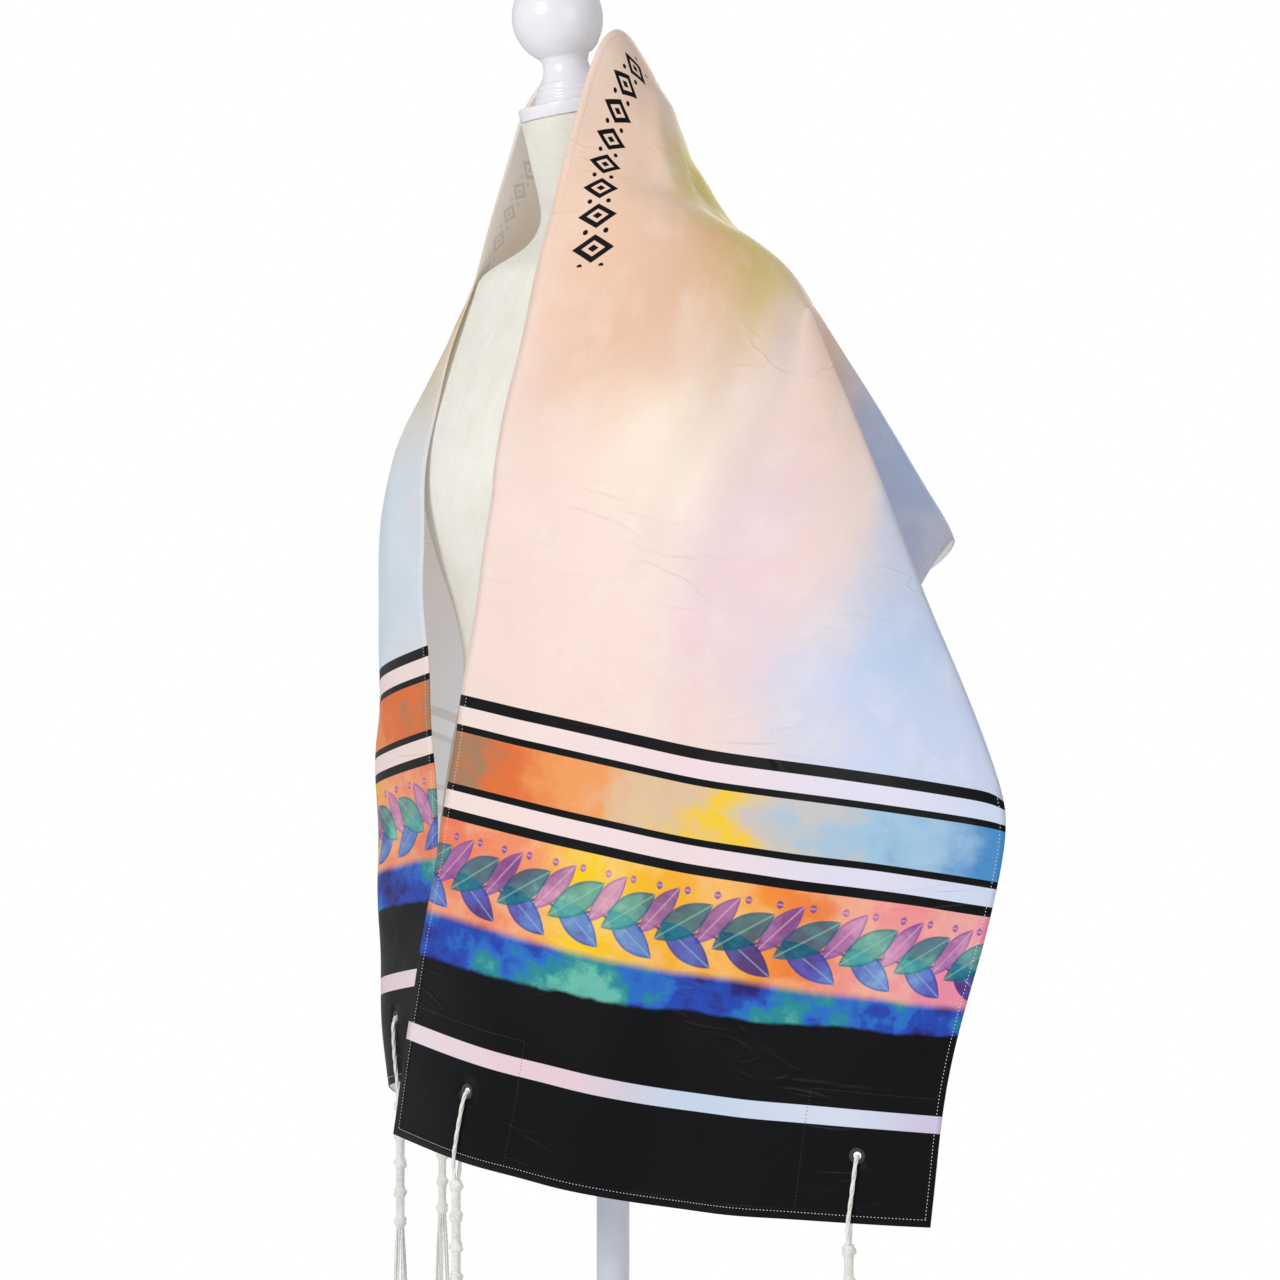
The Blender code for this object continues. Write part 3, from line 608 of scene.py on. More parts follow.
def on_cloth(cloth, wanted, chunk=300):
    """Where flat places are on the hanging cloth, with the normal and the way that down
    points: the nearest face's own stretch, found by least squares from its corners."""
    flat = cloth.places[cloth.quads]
    centre = flat.mean(axis=1)
    near = [
        np.argmin(((wanted[i : i + chunk, None] - centre) ** 2).sum(axis=-1), axis=1)
        for i in range(0, len(wanted), chunk)
    ]
    near = np.concatenate(near)
    offs = flat[near] - centre[near][:, None]
    spots = cloth.points[cloth.quads[near]]
    middle = spots.mean(axis=1)
    turned = offs.transpose(0, 2, 1)
    stretch = np.linalg.solve(turned @ offs, turned @ (spots - middle[:, None]))
    points = middle + ((wanted - centre[near])[:, None] @ stretch)[:, 0]
    return points, unit(cloth.normals[cloth.quads[near]].mean(axis=1)), unit(stretch[:, 0])


# Dress form and stand


def torso_shape():
    """A ring at each height, whose points are (half * cos^p, middle + depth * sin) with the
    cosine's power just under 1, closed to a point below and above; the neck's top is tilted."""
    heights = np.linspace(TORSO[0]["z"], NECK_TOP, TORSO_ROWS)
    heights = np.concatenate([heights[:1], heights, heights[-1:]])
    size = np.ones(len(heights))
    size[[0, -1]] = 0.0
    turn = round_turn(TORSO_SIDES)
    half, front, back = (part[:, None] for part in form_size(heights))
    c, s = np.cos(turn), np.sin(turn)
    x = half * size[:, None] * np.sign(c) * np.abs(c) ** ROUNDNESS
    y = (front + back) / 2 + (back - front) / 2 * size[:, None] * s
    share = np.clip((heights - LEAN_FROM) / (NECK_TOP - LEAN_FROM), 0.0, 1.0)[:, None]
    z = heights[:, None] + (y - NECK_Y) * math.tan(NECK_LEAN) * share
    return closed_rings(np.stack([x, y, np.broadcast_to(z, x.shape)], axis=-1))


def closed_rings(grid):
    """Points and quads of rings stacked in order, each ring joined end to end, whose first
    and last rings are single points."""
    rows, sides = grid.shape[:2]
    numbers = np.arange(rows * sides).reshape(rows, sides)
    numbers[0], numbers[-1] = numbers[0, 0], numbers[-1, 0]
    after = np.roll(numbers, -1, axis=1)
    quads = np.stack([numbers[:-1], after[:-1], after[1:], numbers[1:]], axis=-1)
    return grid.reshape(-1, 3), quads.reshape(-1, 4)


def turned(profile, foot, lean=0.0, sides=96):
    """Each (radius, up) of the profile swept round an axis that may lean to the front."""
    profile = np.array(profile)
    turn = round_turn(sides)
    up_axis = np.array([0.0, -math.sin(lean), math.cos(lean)])
    back_axis = np.array([0.0, math.cos(lean), math.sin(lean)])
    radius, up = profile[:, 0, None, None], profile[:, 1, None, None]
    ring = np.cos(turn)[:, None] * np.array([1.0, 0, 0]) + np.sin(turn)[:, None] * back_axis
    return closed_rings(np.array(foot) + up * up_axis + radius * ring)


def rounded(corners, steps=5):
    """A profile with its corners cut to curves: each (radius, up, rounding) corner becomes
    the quadratic arc between the points at that rounding's distance before and after it."""
    line_out = [corners[0][:2]]
    for before, here, after in zip(corners, corners[1:], corners[2:]):
        spot = np.array(here[:2])
        ways = [np.array(end[:2]) - spot for end in (before, after)]
        cut = [spot + way * min(0.45, here[2] / max(np.linalg.norm(way), 1e-9)) for way in ways]
        if here[2] <= 0:
            line_out.append(tuple(spot))
            continue
        for u in np.linspace(0, 1, steps):
            line_out.append(tuple((1 - u) ** 2 * cut[0] + 2 * u * (1 - u) * spot + u**2 * cut[1]))
    return line_out + [corners[-1][:2]]


def along_neck(up):
    """The point that far up the neck's leaning axis from its top."""
    return (0.0, NECK_Y - math.sin(NECK_LEAN) * up, NECK_TOP + math.cos(NECK_LEAN) * up)


def make_form(finishes):
    """The torso, the plate on its neck and the finial, a moulded stem under a ball."""
    new_piece("torso_cover", torso_shape(), [finishes["jersey"]], "form_torso")
    plate = turned(rounded(NECK_PLATE), along_neck(SEAM), NECK_LEAN)
    new_piece("neck_plate", plate, [finishes["cap"]], "form_neck_plate")
    rise = np.linspace(BALL_FROM, math.pi / 2, 40)
    ball = np.stack([BALL_RADIUS * np.cos(rise), BALL_UP + BALL_RADIUS * np.sin(rise)], axis=-1)
    ball[-1, 0] = 0.0
    stem = rounded(FINIAL_STEM + [(*ball[0], 0.0015), (*ball[1], 0.0)])[:-1]
    profile = np.concatenate([stem, ball[1:]])
    finial = turned(profile, along_neck(NECK_PLATE[-1][1] + 2 * SEAM), NECK_LEAN)
    new_piece("ball_finial", finial, [finishes["cap"]], "form_finial")


def under_plate_shape():
    """The form's lowest ring, drawn in a little, as a flat plate with rounded rims."""
    bottom = TORSO[0]
    top = bottom["z"] - SEAM
    turn = round_turn(TORSO_SIDES)
    levels = np.array(rounded([(0.0, 0.0, 0), (1.0, 0.0, 0.02), (1.0, UNDER_PLATE_HIGH, 0.02),
                               (0.0, UNDER_PLATE_HIGH, 0)]))
    size = levels[:, 0, None] * UNDER_PLATE_INSET
    middle, depth = (bottom["front"] + bottom["back"]) / 2, (bottom["back"] - bottom["front"]) / 2
    c, s = np.cos(turn), np.sin(turn)
    x = bottom["half"] * size * np.sign(c) * np.abs(c) ** ROUNDNESS
    y = (middle + depth * s) * size
    z = np.broadcast_to(top - UNDER_PLATE_HIGH + levels[:, 1, None], x.shape)
    return closed_rings(np.stack([x, y, z], axis=-1))


def make_stand(finishes):
    """The plate under the torso, the pole, its socket and the round base."""
    metal = [finishes["metal"]]
    new_piece("under_plate", under_plate_shape(), metal, "form_under_plate")
    base_top = BASE[-1][1]
    pole_foot = base_top + SEAM + SOCKET[-1][1] + SEAM
    pole_high = TORSO[0]["z"] - 2 * SEAM - UNDER_PLATE_HIGH - pole_foot
    half = POLE_DIAMETER / 2
    pole = [(0.0, 0.0, 0), (half, 0.0, 0.001), (half, pole_high, 0.001), (0.0, pole_high, 0)]
    for name, node, profile, foot in (
        ("round_base", "stand_base", BASE, 0.0),
        ("pole_socket", "stand_socket", SOCKET, base_top + SEAM),
        ("pole", "stand_pole", pole, pole_foot),
    ):
        shape = turned(rounded(profile), (0.0, 0.0, foot))
        new_piece(name, shape, metal, node)


# Cloth, patches and stitches


def make_shawl(cloth, finishes):
    """The whole cloth, printed on its outer face and plain on its reverse."""
    faces = [finishes["satin"], finishes["reverse"]]
    shape = (cloth.points, cloth.quads)
    shawl = new_piece("shawl_cloth", shape, faces, "shawl", cloth.places)
    give_wall(shawl, CLOTH_WALL, inner_material=1)
    return shawl


def corners():
    """Each corner's label with its hem's end, the way up from it, and its edge's side."""
    for label, end, up in (("near", NEAR_LENGTH, -1.0), ("far", -FAR_LENGTH, 1.0)):
        yield label + "_front", end, up, 0.0, 1.0, PATCH_FRONT_WIDE, HOLE_IN_FRONT
        yield label + "_side", end, up, CLOTH_WIDTH, -1.0, PATCH_SIDE_WIDE, HOLE_IN_SIDE


def make_patch(cloth, label, end, up, edge, inward, wide_size, finishes):
    """The cloth's own faces within the patch's rectangle, set off on the reverse."""
    down, wide = np.abs(cloth.places[:, 0] - end), np.abs(cloth.places[:, 1] - edge)
    inside = (down < PATCH_HIGH + SAME_PLACE) & (wide < wide_size + SAME_PLACE)
    quads = cloth.quads[inside[cloth.quads].all(axis=1)]
    off = CLOTH_WALL / 2 + PATCH_GAP + PATCH_WALL / 2
    points = cloth.points - cloth.normals * off
    patch = new_piece("patch_cloth_" + label, (points, quads), [finishes["reverse"]],
                      "patch_" + label, cloth.places)
    give_wall(patch, PATCH_WALL)
    return patch


def row_of_stitches(cloth, start, end):
    """Even places along a flat line, stepped by the length of the hanging cloth."""
    start, end = np.array(start), np.array(end)
    count = int(np.linalg.norm(end - start) / STITCH_SCAN) + 2
    flat = start + (end - start) * np.linspace(0, 1, count)[:, None]
    points, _, _ = on_cloth(cloth, flat)
    length = length_along(points)
    at = np.arange(STITCH_PITCH / 2, length[-1], STITCH_PITCH)
    share = np.interp(at, length, np.linspace(0, 1, count))
    return start + (end - start) * share[:, None], unit(end - start)


def edge_lines():
    """The run of stitching all round inside the edge."""
    e = STITCH_INSET
    far, near, out = -FAR_LENGTH + e, NEAR_LENGTH - e, CLOTH_WIDTH - e
    return [((far, e), (near, e)), ((near, e), (near, out)), ((near, out), (far, out)),
            ((far, out), (far, e))]


def patch_lines():
    """Two runs of stitching across the cloth for each corner patch."""
    e = STITCH_INSET
    lines = []
    for _, end, up, edge, inward, wide_size, _ in corners():
        top = end + up * (PATCH_HIGH - STITCH_PATCH_INSET)
        side = edge + inward * (wide_size - STITCH_PATCH_INSET)
        lines.append(((end + up * e, side), (top, side)))
        lines.append(((top, side), (top, edge + inward * e)))
    return lines


def make_stitches(cloth, name, lines, thread):
    """Each stitch is a grid of rings whose radius is the square root of 1 - t^2 along the
    thread, flattened to the cloth and reaching through it to the reverse."""
    spots, ways, normals = [], [], []
    for start, end in lines:
        flat, way = row_of_stitches(cloth, start, end)
        points, normal, _ = on_cloth(cloth, flat)
        ahead, _, _ = on_cloth(cloth, flat + way * STITCH_AHEAD)
        spots.append(points)
        ways.append(unit(ahead - points))
        normals.append(normal)
    spots, ways, normals = (np.concatenate(part) for part in (spots, ways, normals))
    across = unit(np.cross(normals, ways))
    turn = round_turn(STITCH_SIDES)
    along = np.array([-1.0, -0.75, 0.0, 0.75, 1.0])
    size = np.sqrt(np.maximum(1 - along**2, 0.0))
    long_off = (along * STITCH_LENGTH / 2)[:, None] * np.ones(STITCH_SIDES)
    side_off = size[:, None] * np.cos(turn) * STITCH_WIDE / 2
    high_off = size[:, None] * np.sin(turn) * (CLOTH_WALL / 2 + STITCH_PROUD)
    grid = (
        spots[:, None, None]
        + long_off[None, ..., None] * ways[:, None, None]
        + side_off[None, ..., None] * across[:, None, None]
        + high_off[None, ..., None] * normals[:, None, None]
    )
    _, quads = closed_rings(grid[0])
    count = grid[0].shape[0] * grid[0].shape[1]
    quads = (quads[None] + np.arange(len(grid))[:, None, None] * count).reshape(-1, 4)
    return new_piece(name, (grid.reshape(-1, 3), quads), [thread])


def make_eyelets(holes, finishes):
    """Buttonhole thread round each hole: a ring of oval section whose thickness ripples with
    the cosine of its own count of stitches."""
    turn = np.linspace(0, 2 * math.pi, EYELET_STITCHES * 4 + 1)
    section = np.linspace(0, 2 * math.pi, 9)
    ripple = 1 + EYELET_RIPPLE * np.cos(turn[:, None] * EYELET_STITCHES)
    out = EYELET_MIDDLE + EYELET_HALF * ripple * np.cos(section)
    high = (CLOTH_WALL / 2 + EYELET_PROUD) * ripple * np.sin(section)
    parts = []
    for middle, normal in holes:
        side = unit(np.cross(normal, [0.0, 0.0, 1.0]))
        other = np.cross(side, normal)
        ring = np.cos(turn)[:, None, None] * side + np.sin(turn)[:, None, None] * other
        points = middle + out[..., None] * ring + high[..., None] * normal
        parts.append(closed_ring_of_rings(points))
    return new_piece("eyelets", joined(parts), [finishes["dark thread"]])


def closed_ring_of_rings(grid):
    """Points and quads of a grid whose last row and column repeat the first."""
    rows, sides = grid.shape[0] - 1, grid.shape[1] - 1
    numbers = np.arange(rows * sides).reshape(rows, sides)
    down, over = np.roll(numbers, -1, axis=0), np.roll(numbers, -1, axis=1)
    both = np.roll(down, -1, axis=1)
    quads = np.stack([numbers, over, both, down], axis=-1)
    return grid[:-1, :-1].reshape(-1, 3), quads.reshape(-1, 4)


# Tassels


def swept(path, radius, plane, sides, lobes, lobe_high, pitch, start=0.0):
    """A tube of rings at right angles to the path. One side of each ring lies in the given
    plane's normal. The radius swells with the cosine of lobes * (angle - turns), where a
    turn is one pitch of length, which gives a twisted cord."""
    ahead = unit(np.gradient(path, axis=0))
    side = unit(np.cross(ahead, np.broadcast_to(plane, path.shape)))
    other = np.cross(ahead, side)
    length = length_along(path)
    turn = round_turn(sides)
    twist = start + 2 * math.pi * length / pitch
    size = radius * (1 + lobe_high * np.cos(lobes * (turn - twist[:, None])))
    rings = path[:, None] + size[..., None] * (
        np.cos(turn)[None, :, None] * side[:, None] + np.sin(turn)[None, :, None] * other[:, None]
    )
    ends = [np.repeat(path[:1, None], sides, axis=1), np.repeat(path[-1:, None], sides, axis=1)]
    return closed_rings(np.concatenate([ends[0], rings, ends[1]]))


def joined(parts):
    """Several (points, quads) as one."""
    counts = np.cumsum([0] + [len(points) for points, _ in parts[:-1]])
    quads = [quads + count for (_, quads), count in zip(parts, counts)]
    return np.concatenate([points for points, _ in parts]), np.concatenate(quads)


def even_path(points, step):
    """A line through the points at even steps, with its bends softened by a moving mean."""
    points = np.array(points)
    length = length_along(points)
    at = np.linspace(0, length[-1], int(length[-1] / step) + 2)
    path = np.stack([np.interp(at, length, points[:, k]) for k in range(3)], axis=-1)
    for _ in range(4):
        path[1:-1] = (path[:-2] + 2 * path[1:-1] + path[2:]) / 4
    return path


def loop_through_hole(cloth, end, up, at_wide):
    """The cord's line: up the outer face from the knot, through the hole, down the reverse."""
    rise = np.linspace(0.001, HOLE_UP, 9)
    flat = np.stack([end + up * rise, np.full(9, at_wide)], axis=-1)
    points, normals, _ = on_cloth(cloth, flat)
    outer = CLOTH_WALL / 2 + CORD_GAP + CORD_DIAMETER / 2
    reverse = outer + PATCH_GAP + PATCH_WALL
    hem = points[0]
    knot = hem - np.array([0.0, 0.0, NECK_DROP])
    below = np.array([0.0, 0.0, CORD_DIAMETER])
    apart = unit(normals[0] * [1, 1, 0]) * CORD_DIAMETER * 0.5
    face, back = points[:-1] + normals[:-1] * outer, points[:-1] - normals[:-1] * reverse
    top = [points[-1] + normals[-1] * outer / 3, points[-1] - normals[-1] * reverse / 3]
    path = [knot + apart, face[0] - below, *face, *top, *back[::-1], back[0] - below, knot - apart]
    return knot, even_path(path, CORD_STEP), np.cross(unit(normals[0] * [1, 1, 0]), [0.0, 0.0, 1.0])


def head_shape(foot):
    """Rings up the head: the windings' radius, swelling by a bell at each knot. Windings
    add a cosine of (turn - height / winding pitch), and knots one of three slanted cords."""
    length = KNOT_PITCH * (KNOT_COUNT - 1)
    up = np.arange(-KNOT_RADIUS, length + KNOT_RADIUS, HEAD_STEP)
    turn = round_turn(18)
    off = np.abs((up + KNOT_PITCH / 2) % KNOT_PITCH - KNOT_PITCH / 2)
    knot = np.exp(-((off / (KNOT_RADIUS * KNOT_SHARPNESS)) ** 4))
    winding = np.cos(turn - 2 * math.pi * up[:, None] / WINDING_PITCH)
    cords = np.cos(3 * turn + 2 * math.pi * up[:, None] / KNOT_CORDS_PITCH)
    knot = knot[:, None]
    size = WRAP_RADIUS + (KNOT_RADIUS - WRAP_RADIUS) * knot
    size = size + WINDING_RELIEF * winding * (1 - knot) + KNOT_CORDS_RELIEF * cords * knot
    rings = np.stack([size * np.cos(turn), size * np.sin(turn), up[:, None] + 0 * size], axis=-1)
    ends = [np.zeros_like(rings[:1]), np.zeros_like(rings[:1])]
    ends[0][..., 2], ends[1][..., 2] = up[0] - HEAD_END, up[-1] + HEAD_END
    points, quads = closed_rings(np.concatenate([ends[0], rings, ends[1]]))
    return points + foot, quads


def strand_paths(foot, turn_start):
    """Eight lines down from the head: a quick spread to a ring, then nearly straight, each
    with two slow sine waves of its own."""
    share = np.linspace(0, 1, STRAND_STEPS)
    for k in range(STRAND_COUNT):
        turn = turn_start + 2 * math.pi * k / STRAND_COUNT
        way = np.array([math.cos(turn), math.sin(turn), 0.0])
        side = np.array([-way[1], way[0], 0.0])
        length = STRAND_LENGTH * (1 - 0.06 * (k % 3))
        spread = STRAND_RING + (STRAND_SPREAD - STRAND_RING) * share**0.8
        wave = STRAND_WAVE * share * np.sin(7.0 * share + 1.7 * k + turn_start)
        sway = STRAND_SWAY * share * np.sin(5.0 * share + 2.6 * k)
        drop = np.array([0.0, 0.0, 1.0]) * (KNOT_RADIUS * 0.4 + length * share)[:, None]
        path = foot + way * (spread + wave)[:, None] + side * sway[:, None] - drop
        yield path, side


def make_tassel(cloth, label, end, up, at_wide, turn_start, finishes):
    """One corner's tassel: the loop, the head, and the strands with a knot at each end."""
    knot, loop, plane = loop_through_hole(cloth, end, up, at_wide)
    foot = knot - np.array([0.0, 0.0, KNOT_PITCH * (KNOT_COUNT - 1)])
    parts = [head_shape(foot)]
    parts.append(swept(loop, CORD_DIAMETER / 2 * CORD_FILL, plane, sides=20, **CORD_TWIST))
    for k, (path, side) in enumerate(strand_paths(foot, turn_start)):
        parts.append(swept(path, STRAND_DIAMETER / 2, side, sides=8, start=0.8 * k, **STRAND_TWIST))
        parts.append(end_knot(path[-1]))
    return new_piece("tassel_" + label, joined(parts), [finishes["cord"]],
                     "tzitzit_" + label)


def end_knot(place):
    """A small ball of thread: rings of a sphere with four slanted ridges."""
    rise = np.linspace(-math.pi / 2, math.pi / 2, 7)
    turn = round_turn(8)
    size = np.cos(rise)[:, None] * (1 + 0.12 * np.cos(4 * turn + 3 * rise[:, None]))
    size = size * END_KNOT_RADIUS
    high = END_KNOT_RADIUS * np.sin(rise)[:, None] + 0 * size
    rings = np.stack([size * np.cos(turn), size * np.sin(turn), high], axis=-1)
    rings[[0, -1], :, :2] = 0.0
    return closed_rings(rings + place)


# Finishes and view
WALES = 260.0
COURSES = 4200.0
KNIT_RELIEF = 0.00018
FIBRE_RELIEF = 0.00020
RUMPLE_RELIEF = 0.0011
HEM_WIDE = 0.0075
SATIN_ROUGHNESS = (0.40, 0.52)
HEM_RELIEF = 0.00022
SOFT_RELIEF = 0.0005
WEAVE_RELIEF = 0.00001
PRESS_RELIEF = 0.00042
WEAVE_PITCH = 0.0007
SHOW_THROUGH = 0.14
# Strength of the painted glow on the satin's reverse, which stands in for light through the cloth
PAINTED_GLOW_THROUGH = 0.16
FLOOR_RADIUS = 2.6
WORLD_FILL = 0.50
VIEW_TURN = math.radians(60.0)
VIEW_PIXELS = 3406
IMAGE_PIXELS = 1280
CAMERA_SPOT = {"near": 2.6, "across": 0.0206, "up": 1.01}
LIGHT_AIM = (0.0, 0.0, 1.05)
# Lights: name, right of the camera's axis, nearness, height, size, power and tint
LIGHTS = (
    ("key", -1.7, 1.9, 2.0, 1.1, 34.0, (1.0, 0.985, 0.965)),
    ("fill", 1.2, 2.4, 1.3, 1.8, 9.0, (0.965, 0.98, 1.0)),
    ("back", 0.8, -2.2, 2.2, 1.6, 16.0, (1.0, 1.0, 1.0)),
)

# The print


def ink(red, green, blue):
    """A printed colour as 0 to 255 values, turned to the linear ones that shaders use."""
    values = np.array([red, green, blue]) / 255
    linear = np.where(values <= 0.04045, values / 12.92, ((values + 0.055) / 1.055) ** 2.4)
    return (*linear.tolist(), 1.0)


def stops(*given):
    """A ramp's places from 0 to 1, each with its colour."""
    return [(place, ink(*colour)) for place, *colour in given]


PRINT_BLACK = ink(5, 6, 11)
# Heights above the hem
STRIPES = ((0.235, 0.242), (0.255, 0.260), (0.297, 0.302), (0.315, 0.323))
LIGHT_BAND = (0.070, 0.083)
PAIR_GROUND_EDGE = (0.3195, 0.3200)
MIDDLE_BAND_SPAN = (0.2575, 0.2995)
BORDER_EDGE = (0.2380, 0.2384)
BLACK_EDGE = (0.1310, 0.1345)
BLACK_SLANT = -0.011
BLACK_WANDER = 0.012
CRISP = 0.0004
ORNAMENT_PITCH = 0.025
ORNAMENT_MIDDLE = 0.040
ORNAMENT_DOWN = (0.100, 0.300)
ORNAMENT_LONG = 0.0102
ORNAMENT_WIDE = 0.0160
WASH_BASE = ink(244, 222, 212)
# Clouds of the wash: middle down and wide, reach down and wide, share and colour
CLOUDS = (
    (0.00, 0.12, 0.26, 0.14, 0.9, (242, 216, 196)),
    (0.00, 0.40, 0.30, 0.17, 0.9, (176, 192, 226)),
    (0.13, 0.17, 0.10, 0.070, 0.85, (233, 213, 116)),
    (0.23, 0.17, 0.11, 0.066, 0.85, (226, 204, 112)),
    # Partly print and partly painted shade: this peach cloud lies along the soft fold from the
    # shoulder to the chest.
    (0.33, 0.09, 0.11, 0.090, 0.8, (230, 184, 152)),
    (0.22, 0.04, 0.14, 0.060, 0.7, (240, 204, 178)),
    (0.44, 0.14, 0.10, 0.085, 0.9, (249, 234, 216)),
    (0.50, 0.23, 0.11, 0.075, 0.65, (234, 208, 220)),
    (0.54, 0.07, 0.14, 0.100, 0.8, (246, 222, 214)),
    (0.28, 0.29, 0.10, 0.050, 0.8, (234, 204, 184)),
    (0.31, 0.41, 0.13, 0.100, 0.9, (176, 196, 232)),
    (0.60, 0.40, 0.17, 0.145, 1.0, (202, 214, 240)),
    (0.47, 0.36, 0.09, 0.045, 0.6, (184, 206, 236)),
    (-0.16, 0.12, 0.14, 0.110, 0.8, (238, 206, 176)),
    (-0.33, 0.06, 0.11, 0.080, 0.9, (228, 202, 146)),
    (-0.26, 0.30, 0.14, 0.120, 0.8, (238, 212, 196)),
    (-0.50, 0.08, 0.15, 0.130, 0.9, (208, 226, 240)),
    (-0.46, 0.26, 0.12, 0.090, 0.8, (240, 216, 224)),
    (-0.58, 0.38, 0.20, 0.120, 0.9, (190, 208, 236)),
)
PAIR_GROUND = stops(
    (0.00, 246, 226, 220), (0.45, 243, 222, 226), (0.75, 226, 224, 242), (1.00, 208, 220, 243)
)
MIDDLE_BAND = stops(
    (0.00, 170, 128, 96), (0.10, 228, 116, 62), (0.28, 242, 160, 98), (0.42, 226, 196, 160),
    (0.52, 248, 206, 60), (0.64, 206, 200, 196), (0.78, 164, 200, 226), (1.00, 76, 142, 200)
)
BAND_GROUND = stops(
    (0.00, 238, 126, 92), (0.16, 244, 148, 110), (0.32, 250, 206, 20), (0.50, 248, 176, 52),
    (0.66, 240, 130, 60), (0.82, 240, 150, 150), (1.00, 234, 140, 170)
)
BAND_BLUES = stops(
    (0.25, 40, 34, 108), (0.42, 38, 74, 178), (0.52, 44, 110, 200), (0.62, 42, 140, 150),
    (0.78, 104, 190, 170), (0.92, 150, 160, 210)
)
TEAL_LEAF = stops(
    (0.25, 14, 84, 112), (0.45, 30, 118, 134), (0.60, 74, 164, 156), (0.80, 130, 200, 176)
)
BLUE_LEAF = stops(
    (0.25, 28, 34, 120), (0.45, 44, 84, 186), (0.60, 62, 128, 206), (0.80, 128, 178, 222)
)
VIOLET_LEAF = stops(
    (0.25, 112, 66, 142), (0.45, 160, 104, 168), (0.60, 200, 140, 184), (0.80, 226, 174, 200)
)
# Rows of leaves: middle above the hem, shift, pitch, half length, half width, lean, tones
LEAF_ROWS = (
    (0.2060, 0.004, 0.046, 0.0240, 0.0088, math.radians(52), VIOLET_LEAF),
    (0.1850, 0.026, 0.046, 0.0255, 0.0105, math.radians(-32), BLUE_LEAF),
    (0.2010, 0.030, 0.046, 0.0265, 0.0112, math.radians(36), TEAL_LEAF),
    (0.2235, 0.018, 0.023, 0.0030, 0.0030, 0.0, VIOLET_LEAF),
)
STEM_UP = 0.1925
STEM_WAVE = 0.0030
STEM_PITCH = 0.046
WASH_EDGE = (0.161, 0.169)
LIGHT_BAND_TINTS = stops(
    (0.00, 238, 222, 230), (0.30, 236, 208, 216), (0.55, 202, 218, 238), (0.80, 216, 224, 240),
    (1.00, 214, 202, 230)
)


# Shader building


